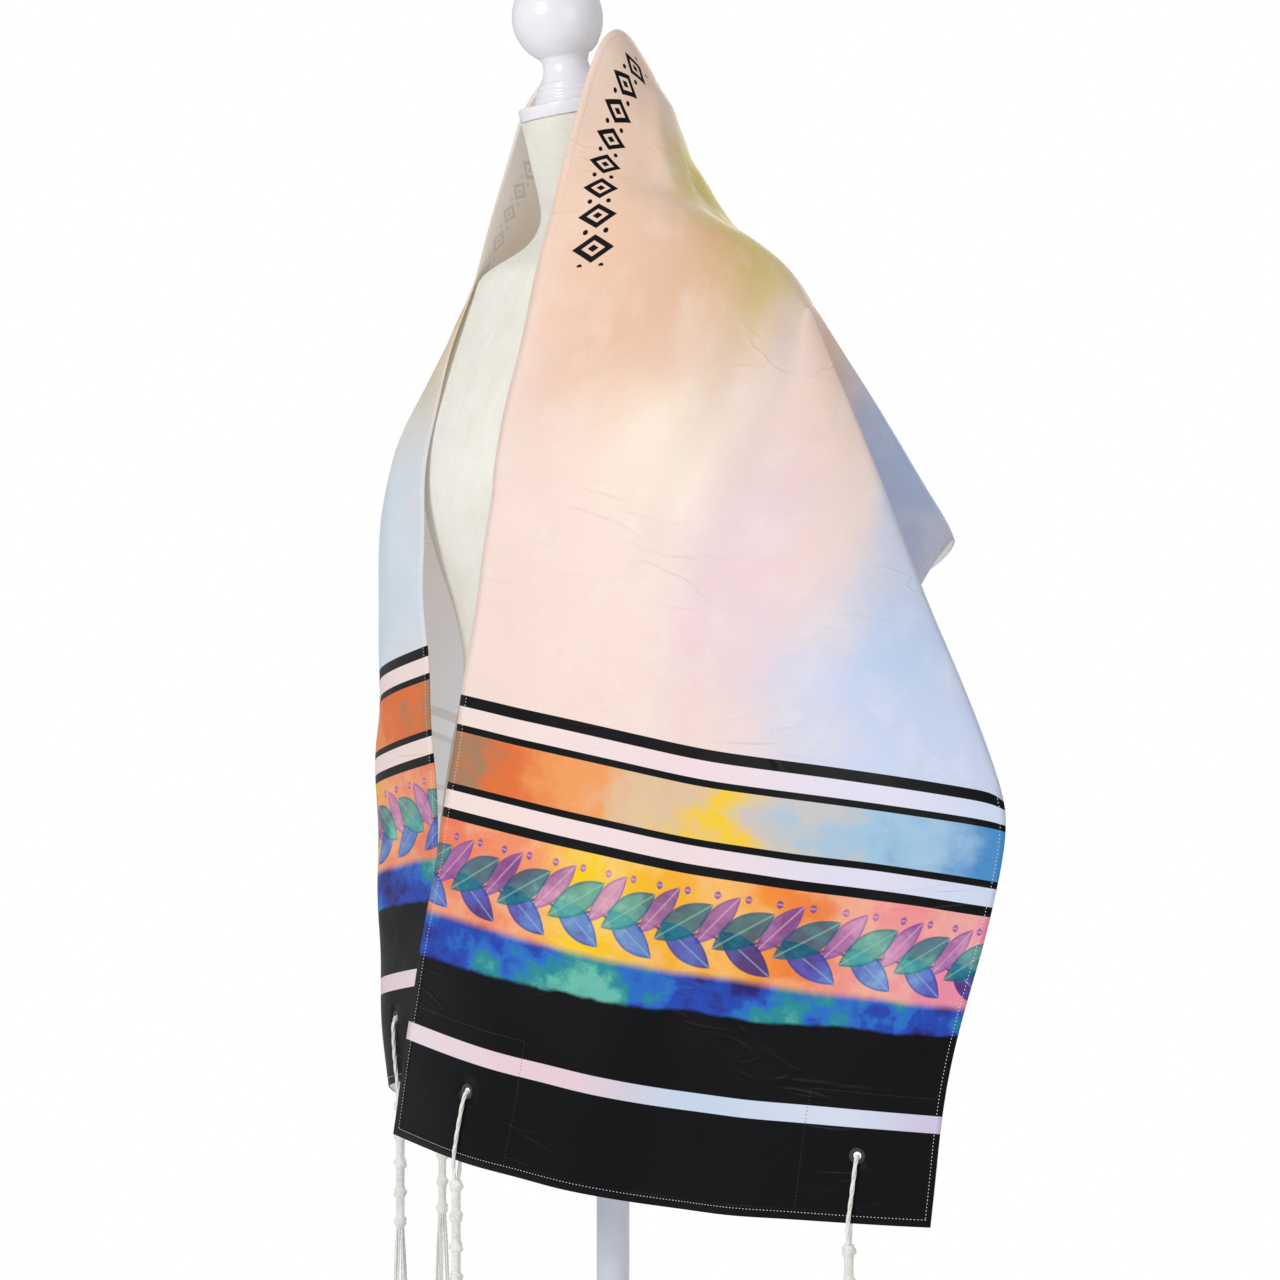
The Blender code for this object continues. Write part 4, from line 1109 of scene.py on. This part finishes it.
class Tree:
    """Adds nodes to a shader tree. Each call takes sockets or plain values and gives the
    new node's output."""

    def __init__(self, tree):
        self.tree = tree

    def node(self, kind, **settings):
        """A new node with its settings."""
        made = self.tree.nodes.new(kind)
        for name, value in settings.items():
            setattr(made, name, value)
        return made

    def put(self, socket, value):
        """Links a socket to another, or sets its plain value."""
        if isinstance(value, bpy.types.NodeSocket):
            self.tree.links.new(value, socket)
        else:
            socket.default_value = value

    def math(self, operation, *values):
        made = self.node("ShaderNodeMath", operation=operation)
        for socket, value in zip(made.inputs, values):
            self.put(socket, value)
        return made.outputs[0]

    def times(self, first, second):
        return self.math("MULTIPLY", first, second)

    def plus(self, first, second):
        return self.math("ADD", first, second)

    def less(self, first, second):
        return self.math("SUBTRACT", first, second)

    def times_plus(self, first, second, third):
        """The first times the second, plus the third."""
        return self.math("MULTIPLY_ADD", first, second, third)

    def most(self, first, second):
        """The larger of two."""
        return self.math("MAXIMUM", first, second)

    def unsigned(self, value):
        return self.math("ABSOLUTE", value)

    def step(self, value, low, high, start=0.0, end=1.0):
        """start below low, end above high, and a smooth rise between."""
        made = self.node("ShaderNodeMapRange", interpolation_type="SMOOTHSTEP")
        for socket, item in zip(made.inputs, (value, low, high, start, end)):
            self.put(socket, item)
        return made.outputs[0]

    def fall(self, value, low, high):
        """1 below low, 0 above high, and a smooth fall between."""
        return self.step(value, low, high, 1.0, 0.0)

    def band(self, value, low, high, soft):
        """1 between low and high, with soft edges."""
        rise = self.step(value, low - soft / 2, low + soft / 2)
        fall = self.fall(value, high - soft / 2, high + soft / 2)
        return self.times(rise, fall)

    def blend(self, share, first, second, mode="MIX"):
        """The first colour at share 0 and the second at share 1."""
        made = self.node("ShaderNodeMix", data_type="RGBA", blend_type=mode)
        self.put(made.inputs[0], share)
        self.put(made.inputs[6], first)
        self.put(made.inputs[7], second)
        return made.outputs[2]

    def ramp(self, value, stops):
        """A colour by its place among the stops, with eased steps."""
        made = self.node("ShaderNodeValToRGB")
        made.color_ramp.interpolation = "EASE"
        marks = made.color_ramp.elements
        while len(marks) < len(stops):
            marks.new(0.5)
        for mark, (place, colour) in zip(marks, stops):
            mark.position = place
        for mark, (place, colour) in zip(marks, stops):
            mark.color = colour
        self.put(made.inputs[0], value)
        return made.outputs[0]

    def noise(self, vector, scale, detail=3.0, roughness=0.5, distortion=0.0):
        """Noise of the vector scaled by its own factor along each axis."""
        mapping = self.node("ShaderNodeMapping")
        self.put(mapping.inputs["Vector"], vector)
        mapping.inputs["Scale"].default_value = scale
        made = self.node("ShaderNodeTexNoise", noise_dimensions="3D")
        for name, value in (("Vector", mapping.outputs[0]), ("Scale", 1.0), ("Detail", detail),
                            ("Roughness", roughness), ("Distortion", distortion)):
            self.put(made.inputs[name], value)
        return made.outputs[0]

    def parts(self, vector):
        made = self.node("ShaderNodeSeparateXYZ")
        self.put(made.inputs[0], vector)
        return made.outputs[0], made.outputs[1], made.outputs[2]

    def vector(self, x, y, z=0.0):
        made = self.node("ShaderNodeCombineXYZ")
        for socket, value in zip(made.inputs, (x, y, z)):
            self.put(socket, value)
        return made.outputs[0]

    def bump(self, height, strength, distance):
        """A normal tilted by the slope of a height."""
        made = self.node("ShaderNodeBump")
        made.inputs["Strength"].default_value = strength
        made.inputs["Distance"].default_value = distance
        self.put(made.inputs["Height"], height)
        return made.outputs[0]

    def place_in(self, group, **values):
        """A group node with values for its named inputs."""
        made = self.node("ShaderNodeGroup")
        made.node_tree = group
        for name, value in values.items():
            self.put(made.inputs[name.replace("_", " ")], value)
        return made


def new_group(name, vectors, values, outputs, kind="NodeSocketFloat"):
    """An empty shader node group with named sockets, and its two end nodes."""
    group = bpy.data.node_groups.new(name, "ShaderNodeTree")
    for label in vectors:
        group.interface.new_socket(label, in_out="INPUT", socket_type="NodeSocketVector")
    for label in values:
        group.interface.new_socket(label, in_out="INPUT", socket_type="NodeSocketFloat")
    for label in outputs:
        group.interface.new_socket(label, in_out="OUTPUT", socket_type=kind)
    tree = Tree(group)
    return group, tree, tree.node("NodeGroupInput").outputs, tree.node("NodeGroupOutput").inputs


def new_material(name, **plain):
    """A material with its surface shader, and plain values for that shader's sockets."""
    material = bpy.data.materials.new(name)
    material.use_nodes = True
    tree = Tree(material.node_tree)
    shader = material.node_tree.nodes["Principled BSDF"]
    for label, value in plain.items():
        shader.inputs[label.replace("_", " ")].default_value = value
    return material, tree, shader.inputs


# The parts of the print


def leaf_row_group():
    """A row of lens-shaped leaves that all lean one way: a leaf covers the places where its
    half width, less by the square of the way to its tip, is over the way off its middle line."""
    group, tree, given, made = new_group(
        "leaf row", [], ["Along", "Up", "Pitch", "Long", "Half width", "Lean"],
        ["Leaf", "Rim", "Vein"])
    half_pitch = tree.times(given["Pitch"], 0.5)
    x = tree.less(tree.math("WRAP", given["Along"], given["Pitch"], 0.0), half_pitch)
    cos, sin = tree.math("COSINE", given["Lean"]), tree.math("SINE", given["Lean"])
    p = tree.plus(tree.times(x, cos), tree.times(given["Up"], sin))
    q = tree.less(tree.times(given["Up"], cos), tree.times(x, sin))
    off = tree.unsigned(q)
    tip = tree.math("POWER", tree.math("DIVIDE", tree.unsigned(p), given["Long"]), 2.0)
    room = tree.times(given["Half width"], tree.less(1.0, tip))
    depth = tree.less(room, off)
    leaf = tree.step(depth, -0.0005, 0.0007)
    tree.put(made["Leaf"], leaf)
    tree.put(made["Rim"], tree.times(leaf, tree.fall(depth, 0.0006, 0.0030)))
    vein = tree.fall(off, 0.0002, 0.0010)
    tree.put(made["Vein"], tree.times(leaf, vein))
    return group


def stripe_mask(tree, from_hem):
    """The four black stripes, as places in metres up from the hem."""
    return reduce(tree.most, [tree.band(from_hem, *stripe, CRISP) for stripe in STRIPES])


def cloud_group():
    """A soft round cloud on the flat cloth: the way to its middle over its reach, made
    uneven by a noise, fades the mask from 1 to 0."""
    group, tree, given, made = new_group(
        "soft cloud", ["Flat", "Middle", "Reach"], ["Wobble"], ["Mask"])
    off = tree.node("ShaderNodeVectorMath", operation="SUBTRACT")
    tree.put(off.inputs[0], given["Flat"])
    tree.put(off.inputs[1], given["Middle"])
    share = tree.node("ShaderNodeVectorMath", operation="DIVIDE")
    tree.put(share.inputs[0], off.outputs[0])
    tree.put(share.inputs[1], given["Reach"])
    length = tree.node("ShaderNodeVectorMath", operation="LENGTH")
    tree.put(length.inputs[0], share.outputs[0])
    away = tree.plus(length.outputs["Value"], given["Wobble"])
    tree.put(made["Mask"], tree.fall(away, 0.30, 1.40))
    return group


def wash_colour(tree, flat, clouds):
    """The upper cloth's wash: soft clouds of colour laid one over another."""
    wobble = tree.noise(flat, (10.0, 10.0, 1.0), 4.0, 0.5)
    wobble = tree.times(tree.less(wobble, 0.5), 1.2)
    wash = WASH_BASE
    for down, wide, reach_down, reach_wide, share, colour in CLOUDS:
        cloud = tree.place_in(clouds, Flat=flat, Wobble=wobble, Middle=(down, wide, 0.0),
                              Reach=(reach_down, reach_wide, 1.0))
        wash = tree.blend(tree.times(cloud.outputs["Mask"], share), wash, ink(*colour))
    grain = tree.noise(flat, (26.0, 26.0, 1.0), 5.0, 0.6)
    return tree.blend(tree.step(grain, 0.45, 0.75, 0.0, 0.22), wash, ink(252, 246, 240))


def leaf_border(tree, from_hem, wide, flat, leaves):
    """Below the stripes: a warm ground, a waving stem with rows of leaves and berries, and a
    blue wash that meets the black border."""
    grain = tree.noise(flat, (30.0, 22.0, 1.0), 6.0, 0.62)
    wander = tree.less(tree.noise(flat, (13.0, 10.0, 1.0), 5.0), 0.5)
    across = tree.plus(tree.math("DIVIDE", wide, CLOTH_WIDTH), tree.times(wander, 0.30))
    ground = tree.ramp(across, BAND_GROUND)
    ground = tree.blend(tree.step(grain, 0.42, 0.62, 0.0, 0.35), ground, ink(250, 214, 170))
    blues = tree.ramp(tree.plus(tree.times(wander, 1.5), grain), BAND_BLUES)
    height = tree.plus(from_hem, tree.times(wander, 0.008))
    colour = tree.blend(tree.fall(height, *WASH_EDGE), ground, blues)
    turn = tree.times(wide, 2 * math.pi / STEM_PITCH)
    stem = tree.times_plus(tree.math("SINE", turn), STEM_WAVE, STEM_UP)
    stem = tree.unsigned(tree.less(from_hem, stem))
    colour = tree.blend(tree.step(stem, 0.0007, 0.0013, 0.85, 0.0), colour, ink(24, 66, 104))
    for middle, offset, pitch, long, half, lean, tones in LEAF_ROWS:
        row = tree.place_in(leaves, Along=tree.plus(wide, offset),
                            Up=tree.less(from_hem, middle), Pitch=pitch, Long=long,
                            Half_width=half, Lean=lean)
        fill = tree.ramp(tree.plus(grain, tree.times(wander, 1.2)), tones)
        fill = tree.blend(tree.times(row.outputs["Rim"], 0.55), fill, tones[0][1])
        fill = tree.blend(tree.times(row.outputs["Vein"], 0.55), fill, tones[3][1])
        colour = tree.blend(tree.times(row.outputs["Leaf"], 0.90), colour, fill)
    return colour


def height_above_hem(tree, down):
    """How far a place is from its own side's hem, on the flat cloth."""
    near = tree.math("GREATER_THAN", down, 0.0)
    length = tree.plus(FAR_LENGTH, tree.times(near, NEAR_LENGTH - FAR_LENGTH))
    return tree.less(length, tree.unsigned(down))


def print_group(leaves, clouds):
    """The whole print of the shawl from its flat places: the wash, then the pale ground of the
    stripes, the middle band, the border, the light band, and the black over them all."""
    group, tree, given, made = new_group(
        "shawl print", ["Flat"], [], ["Colour"], "NodeSocketColor")
    flat = given["Flat"]
    signed, wide, _ = tree.parts(flat)
    from_hem = height_above_hem(tree, signed)
    share = tree.math("DIVIDE", wide, CLOTH_WIDTH)
    colour = wash_colour(tree, flat, clouds)
    pale = tree.ramp(share, PAIR_GROUND)
    wander = tree.noise(flat, (22.0, 16.0, 1.0), 6.0, 0.6)
    middle = tree.plus(share, tree.times(tree.less(wander, 0.5), 0.5))
    colour = tree.blend(tree.fall(from_hem, *PAIR_GROUND_EDGE), colour, pale)
    colour = tree.blend(tree.band(from_hem, *MIDDLE_BAND_SPAN, CRISP), colour,
                        tree.ramp(middle, MIDDLE_BAND))
    low = tree.fall(from_hem, *BORDER_EDGE)
    colour = tree.blend(low, colour, leaf_border(tree, from_hem, wide, flat, leaves))
    edge = tree.plus(from_hem, tree.times(share, BLACK_SLANT))
    edge = tree.plus(edge, tree.times(tree.less(wander, 0.5), BLACK_WANDER))
    black = tree.fall(edge, *BLACK_EDGE)
    black = tree.most(black, stripe_mask(tree, from_hem))
    light = tree.band(from_hem, *LIGHT_BAND, CRISP)
    black = tree.times(black, tree.less(1.0, light))
    colour = tree.blend(light, colour, tree.ramp(share, LIGHT_BAND_TINTS))
    black = tree.most(black, ornament_mask(tree, tree.unsigned(signed), wide))
    tree.put(made["Colour"], tree.blend(black, colour, PRINT_BLACK))
    return group


def ornament_mask(tree, down, wide):
    """A row of open lozenges with a dot in each and a pair of dots between them, along the
    inner edge on both sides of the neck."""
    x = tree.less(tree.math("FRACT", tree.math("DIVIDE", down, ORNAMENT_PITCH)), 0.5)
    x = tree.unsigned(tree.times(x, ORNAMENT_PITCH))
    y = tree.unsigned(tree.less(wide, ORNAMENT_MIDDLE))
    lozenge = tree.math("DIVIDE", x, ORNAMENT_LONG)
    lozenge = tree.plus(lozenge, tree.math("DIVIDE", y, ORNAMENT_WIDE))
    open_one = tree.band(lozenge, 0.56, 1.0, 0.05)
    core = tree.fall(lozenge, 0.24, 0.29)
    side = tree.math("POWER", tree.less(ORNAMENT_PITCH / 2, x), 2.0)
    high = tree.math("POWER", tree.less(y, ORNAMENT_WIDE / 2), 2.0)
    dot = tree.math("SQRT", tree.plus(side, high))
    dots = tree.fall(dot, 0.0019, 0.0022)
    mask = tree.most(tree.most(open_one, core), dots)
    return tree.times(mask, tree.band(down, *ORNAMENT_DOWN, CRISP))


# Finishes


def weave_group():
    """Satin's fine floats: two crossed sine waves of the flat place, the warp's long and the weft's
    short, with slow unevenness. Gives a height, and a mask that follows it for painting the floats'
    sheen into the colour, lighter on the floats and darker between them."""
    group, tree, given, made = new_group(
        "satin weave", ["Flat"], ["Pitch"], ["Height", "Float"])
    down, wide, _ = tree.parts(given["Flat"])
    turns = tree.math("DIVIDE", 2 * math.pi, given["Pitch"])
    warp = tree.math("SINE", tree.times(wide, turns))
    slant = tree.plus(tree.times(down, 0.42), tree.times(wide, 0.31))
    weft = tree.math("SINE", tree.times(slant, turns))
    uneven = tree.noise(given["Flat"], (260.0, 900.0, 1.0), 3.0, 0.6)
    floats = tree.times_plus(tree.times(warp, weft), 0.25, 0.5)
    tree.put(made["Float"], tree.times_plus(uneven, 0.5, tree.times(floats, 0.5)))
    tree.put(made["Height"], tree.plus(floats, uneven))
    return group


def hem_height(tree, down, wide):
    """The turned hem: a low step inside every edge, dipping along the line of stitches."""
    side = tree.math("MINIMUM", wide, tree.less(CLOTH_WIDTH, wide))
    inside = tree.math("MINIMUM", height_above_hem(tree, down), side)
    step = tree.fall(inside, HEM_WIDE - 0.0008, HEM_WIDE + 0.0008)
    dip = tree.band(inside, STITCH_INSET - 0.0006, STITCH_INSET + 0.0006, 0.0012)
    return tree.less(step, tree.times(dip, 0.6)), step


def satin_finish(name, prints, weave, show_through):
    """Printed satin. The reverse shows the print only faintly, and glows a little with a painted
    light that stands in for light coming through the thin cloth from behind.
    """
    plain = {"Roughness": 0.5, "Sheen_Weight": 0.03, "Specular_IOR_Level": 0.13}
    material, tree, shader = new_material(name, **plain)
    flat = tree.node("ShaderNodeUVMap", uv_map="flat").outputs[0]
    colour = tree.place_in(prints, Flat=flat).outputs["Colour"]
    fine = tree.place_in(weave, Flat=flat, Pitch=WEAVE_PITCH)
    down, wide, _ = tree.parts(flat)
    hem, hem_mask = hem_height(tree, down, wide)
    if show_through < 1:
        # Painted glow: an emission on the reverse that stands in for light passing through the
        # cloth from behind.
        painted_glow = tree.blend(0.45, ink(246, 240, 232), colour)
        colour = tree.blend(show_through, ink(238, 236, 234), colour)
        colour = tree.blend(tree.times(hem_mask, 0.5), colour, ink(246, 245, 245))
        tree.put(shader["Emission Color"], painted_glow)
        shader["Emission Strength"].default_value = PAINTED_GLOW_THROUGH
    # Painted sheen and shade of the weave: the colour is darker between the floats and lighter on
    # them.
    shade = tree.step(fine.outputs["Float"], 0.25, 0.75, 0.93, 1.0)
    grey = tree.vector(shade, shade, shade)
    tree.put(shader["Base Color"], tree.blend(1.0, colour, grey, "MULTIPLY"))
    rub = tree.noise(flat, (24.0, 24.0, 1.0), 4.0, 0.6)
    tree.put(shader["Roughness"], tree.step(rub, 0.3, 0.7, *SATIN_ROUGHNESS))
    soft = tree.noise(flat, (38.0, 26.0, 1.0), 2.0, 0.4)
    height = tree.times_plus(hem, HEM_RELIEF, tree.times(soft, SOFT_RELIEF))
    height = tree.times_plus(fine.outputs["Height"], WEAVE_RELIEF, height)
    height = tree.times_plus(press_marks(tree, flat), PRESS_RELIEF, height)
    tree.put(shader["Normal"], tree.bump(height, 0.9, 1.0))
    return material


def press_marks(tree, flat):
    """Faint short creases from folding: the thin ridges of a strongly stretched noise."""
    lines = tree.noise(flat, (34.0, 7.0, 1.0), 2.0, 0.4, 0.6)
    ridge = tree.fall(tree.unsigned(tree.less(lines, 0.5)), 0.0, 0.030)
    patches = tree.noise(flat, (7.0, 6.5, 1.0), 1.0)
    return tree.times(ridge, tree.step(patches, 0.50, 0.62))


def fibre_group():
    """Loose fibres: fine noise stretched along one axis, over a slow one."""
    group, tree, given, made = new_group(
        "spun fibre", ["Place"], ["Fineness"], ["Height"])
    scaled = tree.node("ShaderNodeVectorMath", operation="SCALE")
    tree.put(scaled.inputs[0], given["Place"])
    tree.put(scaled.inputs["Scale"], given["Fineness"])
    fine = tree.noise(scaled.outputs[0], (1.0, 1.0, 0.22), 4.0, 0.65)
    slow = tree.noise(scaled.outputs[0], (0.1, 0.1, 0.05), 2.0, 0.5)
    tree.put(made["Height"], tree.times_plus(fine, 0.7, tree.times(slow, 0.3)))
    return group


def cotton_finish(name, fibre, light, dark, fineness, roughness):
    """Spun cotton with a soft sheen, its colour painted paler on the raised fibres and darker
    between them, as light and shade would fall.
    """
    plain = {"Roughness": roughness, "Sheen_Weight": 0.25, "Sheen_Roughness": 0.6}
    material, tree, shader = new_material(name, **plain)
    place = tree.node("ShaderNodeTexCoord").outputs["Object"]
    height = tree.place_in(fibre, Place=place, Fineness=fineness).outputs["Height"]
    # Painted light and shade: the fibres' height picks the colour, from the dark tone low to the
    # light one high.
    tree.put(shader["Base Color"], tree.ramp(height, stops((0.28, *dark), (0.62, *light))))
    tree.put(shader["Roughness"], tree.step(height, 0.3, 0.7, roughness - 0.08, roughness + 0.05))
    tree.put(shader["Normal"], tree.bump(height, 0.6, 0.0006))
    return material


def jersey_finish(fibre):
    """Fine cream knit: wales by the angle round the form, courses by height, fibres over them, and
    sparse small glints from a metallic thread. The colour holds painted shade in the knit's grooves
    and in the rumples' hollows, and painted glints as small lighter spots."""
    plain = {"Roughness": 0.8, "Sheen_Weight": 0.3, "Sheen_Roughness": 0.5}
    material, tree, shader = new_material("cream jersey", **plain)
    place = tree.node("ShaderNodeTexCoord").outputs["Object"]
    x, y, z = tree.parts(place)
    angle = tree.math("ARCTAN2", tree.less(y, -0.015), x)
    wales = tree.unsigned(tree.math("SINE", tree.times(angle, WALES)))
    lean = tree.times(wales, 1.4)
    courses = tree.math("SINE", tree.plus(tree.times(z, COURSES), lean))
    knit = tree.times_plus(courses, 0.25, wales)
    fine = tree.place_in(fibre, Place=place, Fineness=900.0).outputs["Height"]
    slow = tree.noise(place, (9.0, 9.0, 16.0), 4.0, 0.6)
    rumple = tree.noise(place, (60.0, 60.0, 26.0), 3.0, 0.55, 0.8)
    # A slow random tone, with painted shade where the rumples' relief is low.
    shade = tree.plus(tree.times(slow, 0.6), tree.times(rumple, 0.4))
    base = tree.ramp(shade, stops((0.32, 237, 234, 222), (0.66, 247, 245, 237)))
    # Painted shade in the knit's grooves, from the same knit height as the relief.
    depth = tree.step(knit, 0.0, 0.7, 0.90, 1.0)
    base = tree.blend(1.0, base, tree.vector(depth, depth, depth), "MULTIPLY")
    # Painted glints: small spots on the rumples' raised parts, lighter in colour as well as
    # smoother.
    glints = tree.node("ShaderNodeTexVoronoi", feature="F1")
    tree.put(glints.inputs["Vector"], place)
    glints.inputs["Scale"].default_value = 420.0
    glint = tree.fall(glints.outputs["Distance"], 0.10, 0.20)
    glint = tree.times(glint, tree.step(rumple, 0.50, 0.60))
    tree.put(shader["Base Color"], tree.blend(tree.times(glint, 0.7), base, ink(255, 254, 248)))
    tree.put(shader["Roughness"], tree.less(0.82, tree.times(glint, 0.5)))
    height = tree.times_plus(knit, KNIT_RELIEF, tree.times(fine, FIBRE_RELIEF))
    height = tree.times_plus(rumple, RUMPLE_RELIEF, height)
    tree.put(shader["Normal"], tree.bump(height, 0.8, 1.0))
    return material


def handling_group():
    """What handling leaves on a smooth surface: soft smudges and short fine scratches."""
    group, tree, given, made = new_group(
        "handling", ["Place"], [], ["Smudge", "Scratch", "Ripple"])
    place = given["Place"]
    smudge = tree.noise(place, (22.0, 22.0, 22.0), 5.0, 0.6, 0.4)
    tree.put(made["Smudge"], tree.step(smudge, 0.40, 0.68))
    lines = tree.noise(place, (260.0, 240.0, 30.0), 2.0, 0.5, 1.5)
    thin = tree.fall(tree.unsigned(tree.less(lines, 0.5)), 0.0, 0.012)
    tree.put(made["Scratch"], tree.times(thin, tree.step(smudge, 0.55, 0.62)))
    tree.put(made["Ripple"], tree.noise(place, (180.0, 180.0, 180.0), 2.0, 0.5))
    return group


def smooth_finish(name, handling, colour, worn, roughness, ripple, **plain):
    """A smooth coat with faint smudges, scratches and a fine ripple."""
    material, tree, shader = new_material(name, **plain)
    place = tree.node("ShaderNodeTexCoord").outputs["Object"]
    marks = tree.place_in(handling, Place=place).outputs
    share = tree.times(marks["Smudge"], 0.5)
    tree.put(shader["Base Color"], tree.blend(share, ink(*colour), ink(*worn)))
    rough = tree.step(marks["Smudge"], 0.0, 1.0, *roughness)
    tree.put(shader["Roughness"], tree.times_plus(marks["Scratch"], 0.12, rough))
    height = tree.less(tree.times(marks["Ripple"], ripple),
                       tree.times(marks["Scratch"], 0.00002))
    tree.put(shader["Normal"], tree.bump(height, 0.7, 1.0))
    return material


def make_finishes():
    """Every finish by name, each built once."""
    prints = print_group(leaf_row_group(), cloud_group())
    weave, fibre, handling = weave_group(), fibre_group(), handling_group()
    return {
        "satin": satin_finish("printed satin", prints, weave, 1.0),
        "reverse": satin_finish("satin reverse", prints, weave, SHOW_THROUGH),
        "thread": cotton_finish("sewing thread", fibre, (246, 244, 246), (206, 204, 214),
                                2600, 0.6),
        "dark thread": cotton_finish("dark thread", fibre, (30, 32, 40), (8, 9, 14), 2600, 0.6),
        "cord": cotton_finish("tassel cotton", fibre, (248, 247, 243), (206, 203, 194),
                              1500, 0.85),
        "jersey": jersey_finish(fibre),
        "cap": smooth_finish("gloss white cap", handling, (238, 238, 244), (226, 227, 236),
                             (0.16, 0.24), 0.00003, Coat_Weight=0.35, Coat_Roughness=0.08),
        "metal": smooth_finish("white stand paint", handling, (219, 224, 235), (206, 213, 226),
                               (0.32, 0.44), 0.00006, Coat_Weight=0.2, Coat_Roughness=0.25),
    }


# Room, light and camera


def make_room():
    """A round pale floor under a white world, which also fills the shade."""
    turn = round_turn(96)
    rings = [np.stack([r * np.cos(turn), r * np.sin(turn), 0 * turn - 0.0005], axis=-1)
             for r in (0.0, 0.8, 1.6, FLOOR_RADIUS, 0.0)]
    rings[-1][:, 2] -= 0.004
    points, quads = closed_rings(np.array(rings))
    mesh = bpy.data.meshes.new("floor")
    mesh.from_pydata(points.tolist(), [], mesh_faces(quads[:, ::-1]))
    floor = bpy.data.objects.new("floor", mesh)
    bpy.context.scene.collection.objects.link(floor)
    material, tree, shader = new_material("pale floor", Roughness=0.75)
    place = tree.node("ShaderNodeTexCoord").outputs["Object"]
    speck = tree.noise(place, (26.0, 26.0, 26.0), 5.0, 0.6)
    tones = stops((0.3, 236, 236, 238), (0.7, 242, 242, 244))
    tree.put(shader["Base Color"], tree.ramp(speck, tones))
    mesh.materials.append(material)


def make_world():
    """Plain white behind the view, and a weaker white that lights the pieces."""
    world = bpy.data.worlds.new("white studio")
    bpy.context.scene.world = world
    world.use_nodes = True
    tree = Tree(world.node_tree)
    back = world.node_tree.nodes["Background"]
    back.inputs["Color"].default_value = (1.0, 1.0, 1.0, 1.0)
    seen = tree.node("ShaderNodeLightPath").outputs["Is Camera Ray"]
    strength = tree.times_plus(seen, 1.0 - WORLD_FILL, WORLD_FILL)
    tree.put(back.inputs["Strength"], strength)


def add_light(name, spot, size, power, tint):
    """A round soft light at a spot, turned to the middle of the shawl."""
    lamp = bpy.data.lights.new(name, "AREA")
    lamp.shape = "DISK"
    lamp.size, lamp.energy, lamp.color = size, power, tint
    light = bpy.data.objects.new(name, lamp)
    light.location = spot
    light.rotation_euler = (Vector(LIGHT_AIM) - spot).to_track_quat("-Z", "Y").to_euler()
    bpy.context.scene.collection.objects.link(light)


def make_light_and_camera():
    """Lights placed by the camera's own right and nearness, and the camera level at the
    photo's angle."""
    right = Vector((math.cos(VIEW_TURN), math.sin(VIEW_TURN), 0.0))
    toward = Vector((math.sin(VIEW_TURN), -math.cos(VIEW_TURN), 0.0))
    for name, across, near, high, size, power, tint in LIGHTS:
        spot = right * across + toward * near + Vector((0, 0, high))
        add_light(name, spot, size, power, tint)
    data = bpy.data.cameras.new("photo view")
    data.sensor_width = 36.0
    data.lens = data.sensor_width * VIEW_PIXELS / IMAGE_PIXELS
    camera = bpy.data.objects.new("photo view", data)
    spot = CAMERA_SPOT
    camera.location = toward * spot["near"] + right * spot["across"] + Vector((0, 0, spot["up"]))
    camera.rotation_euler = Euler((math.pi / 2, 0.0, VIEW_TURN))
    bpy.context.scene.collection.objects.link(camera)
    bpy.context.scene.camera = camera
    bpy.context.scene.view_settings.view_transform = "Standard"


def main():
    """Loads the frame, makes every piece on it, then the room, the lights and the camera."""
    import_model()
    finishes = make_finishes()
    cloth = Cloth()
    holes = [(end + up * HOLE_UP, edge + inward * hole_in)
             for _, end, up, edge, inward, _, hole_in in corners()]
    rims = [open_hole(cloth, place) for place in holes]
    shawl = make_shawl(cloth, finishes)
    going = [
        make_stitches(cloth, "edge_stitches", edge_lines(), finishes["thread"]),
        make_stitches(cloth, "patch_stitches", patch_lines(), finishes["dark thread"]),
        make_eyelets(rims, finishes),
    ]
    for number, (label, end, up, edge, inward, wide_size, hole_in) in enumerate(corners()):
        going.append(make_patch(cloth, label, end, up, edge, inward, wide_size, finishes))
        at_wide = edge + inward * hole_in
        going.append(make_tassel(cloth, label, end, up, at_wide, 0.4 * number, finishes))
    make_form(finishes)
    make_stand(finishes)
    make_room()
    make_world()
    make_light_and_camera()


main()
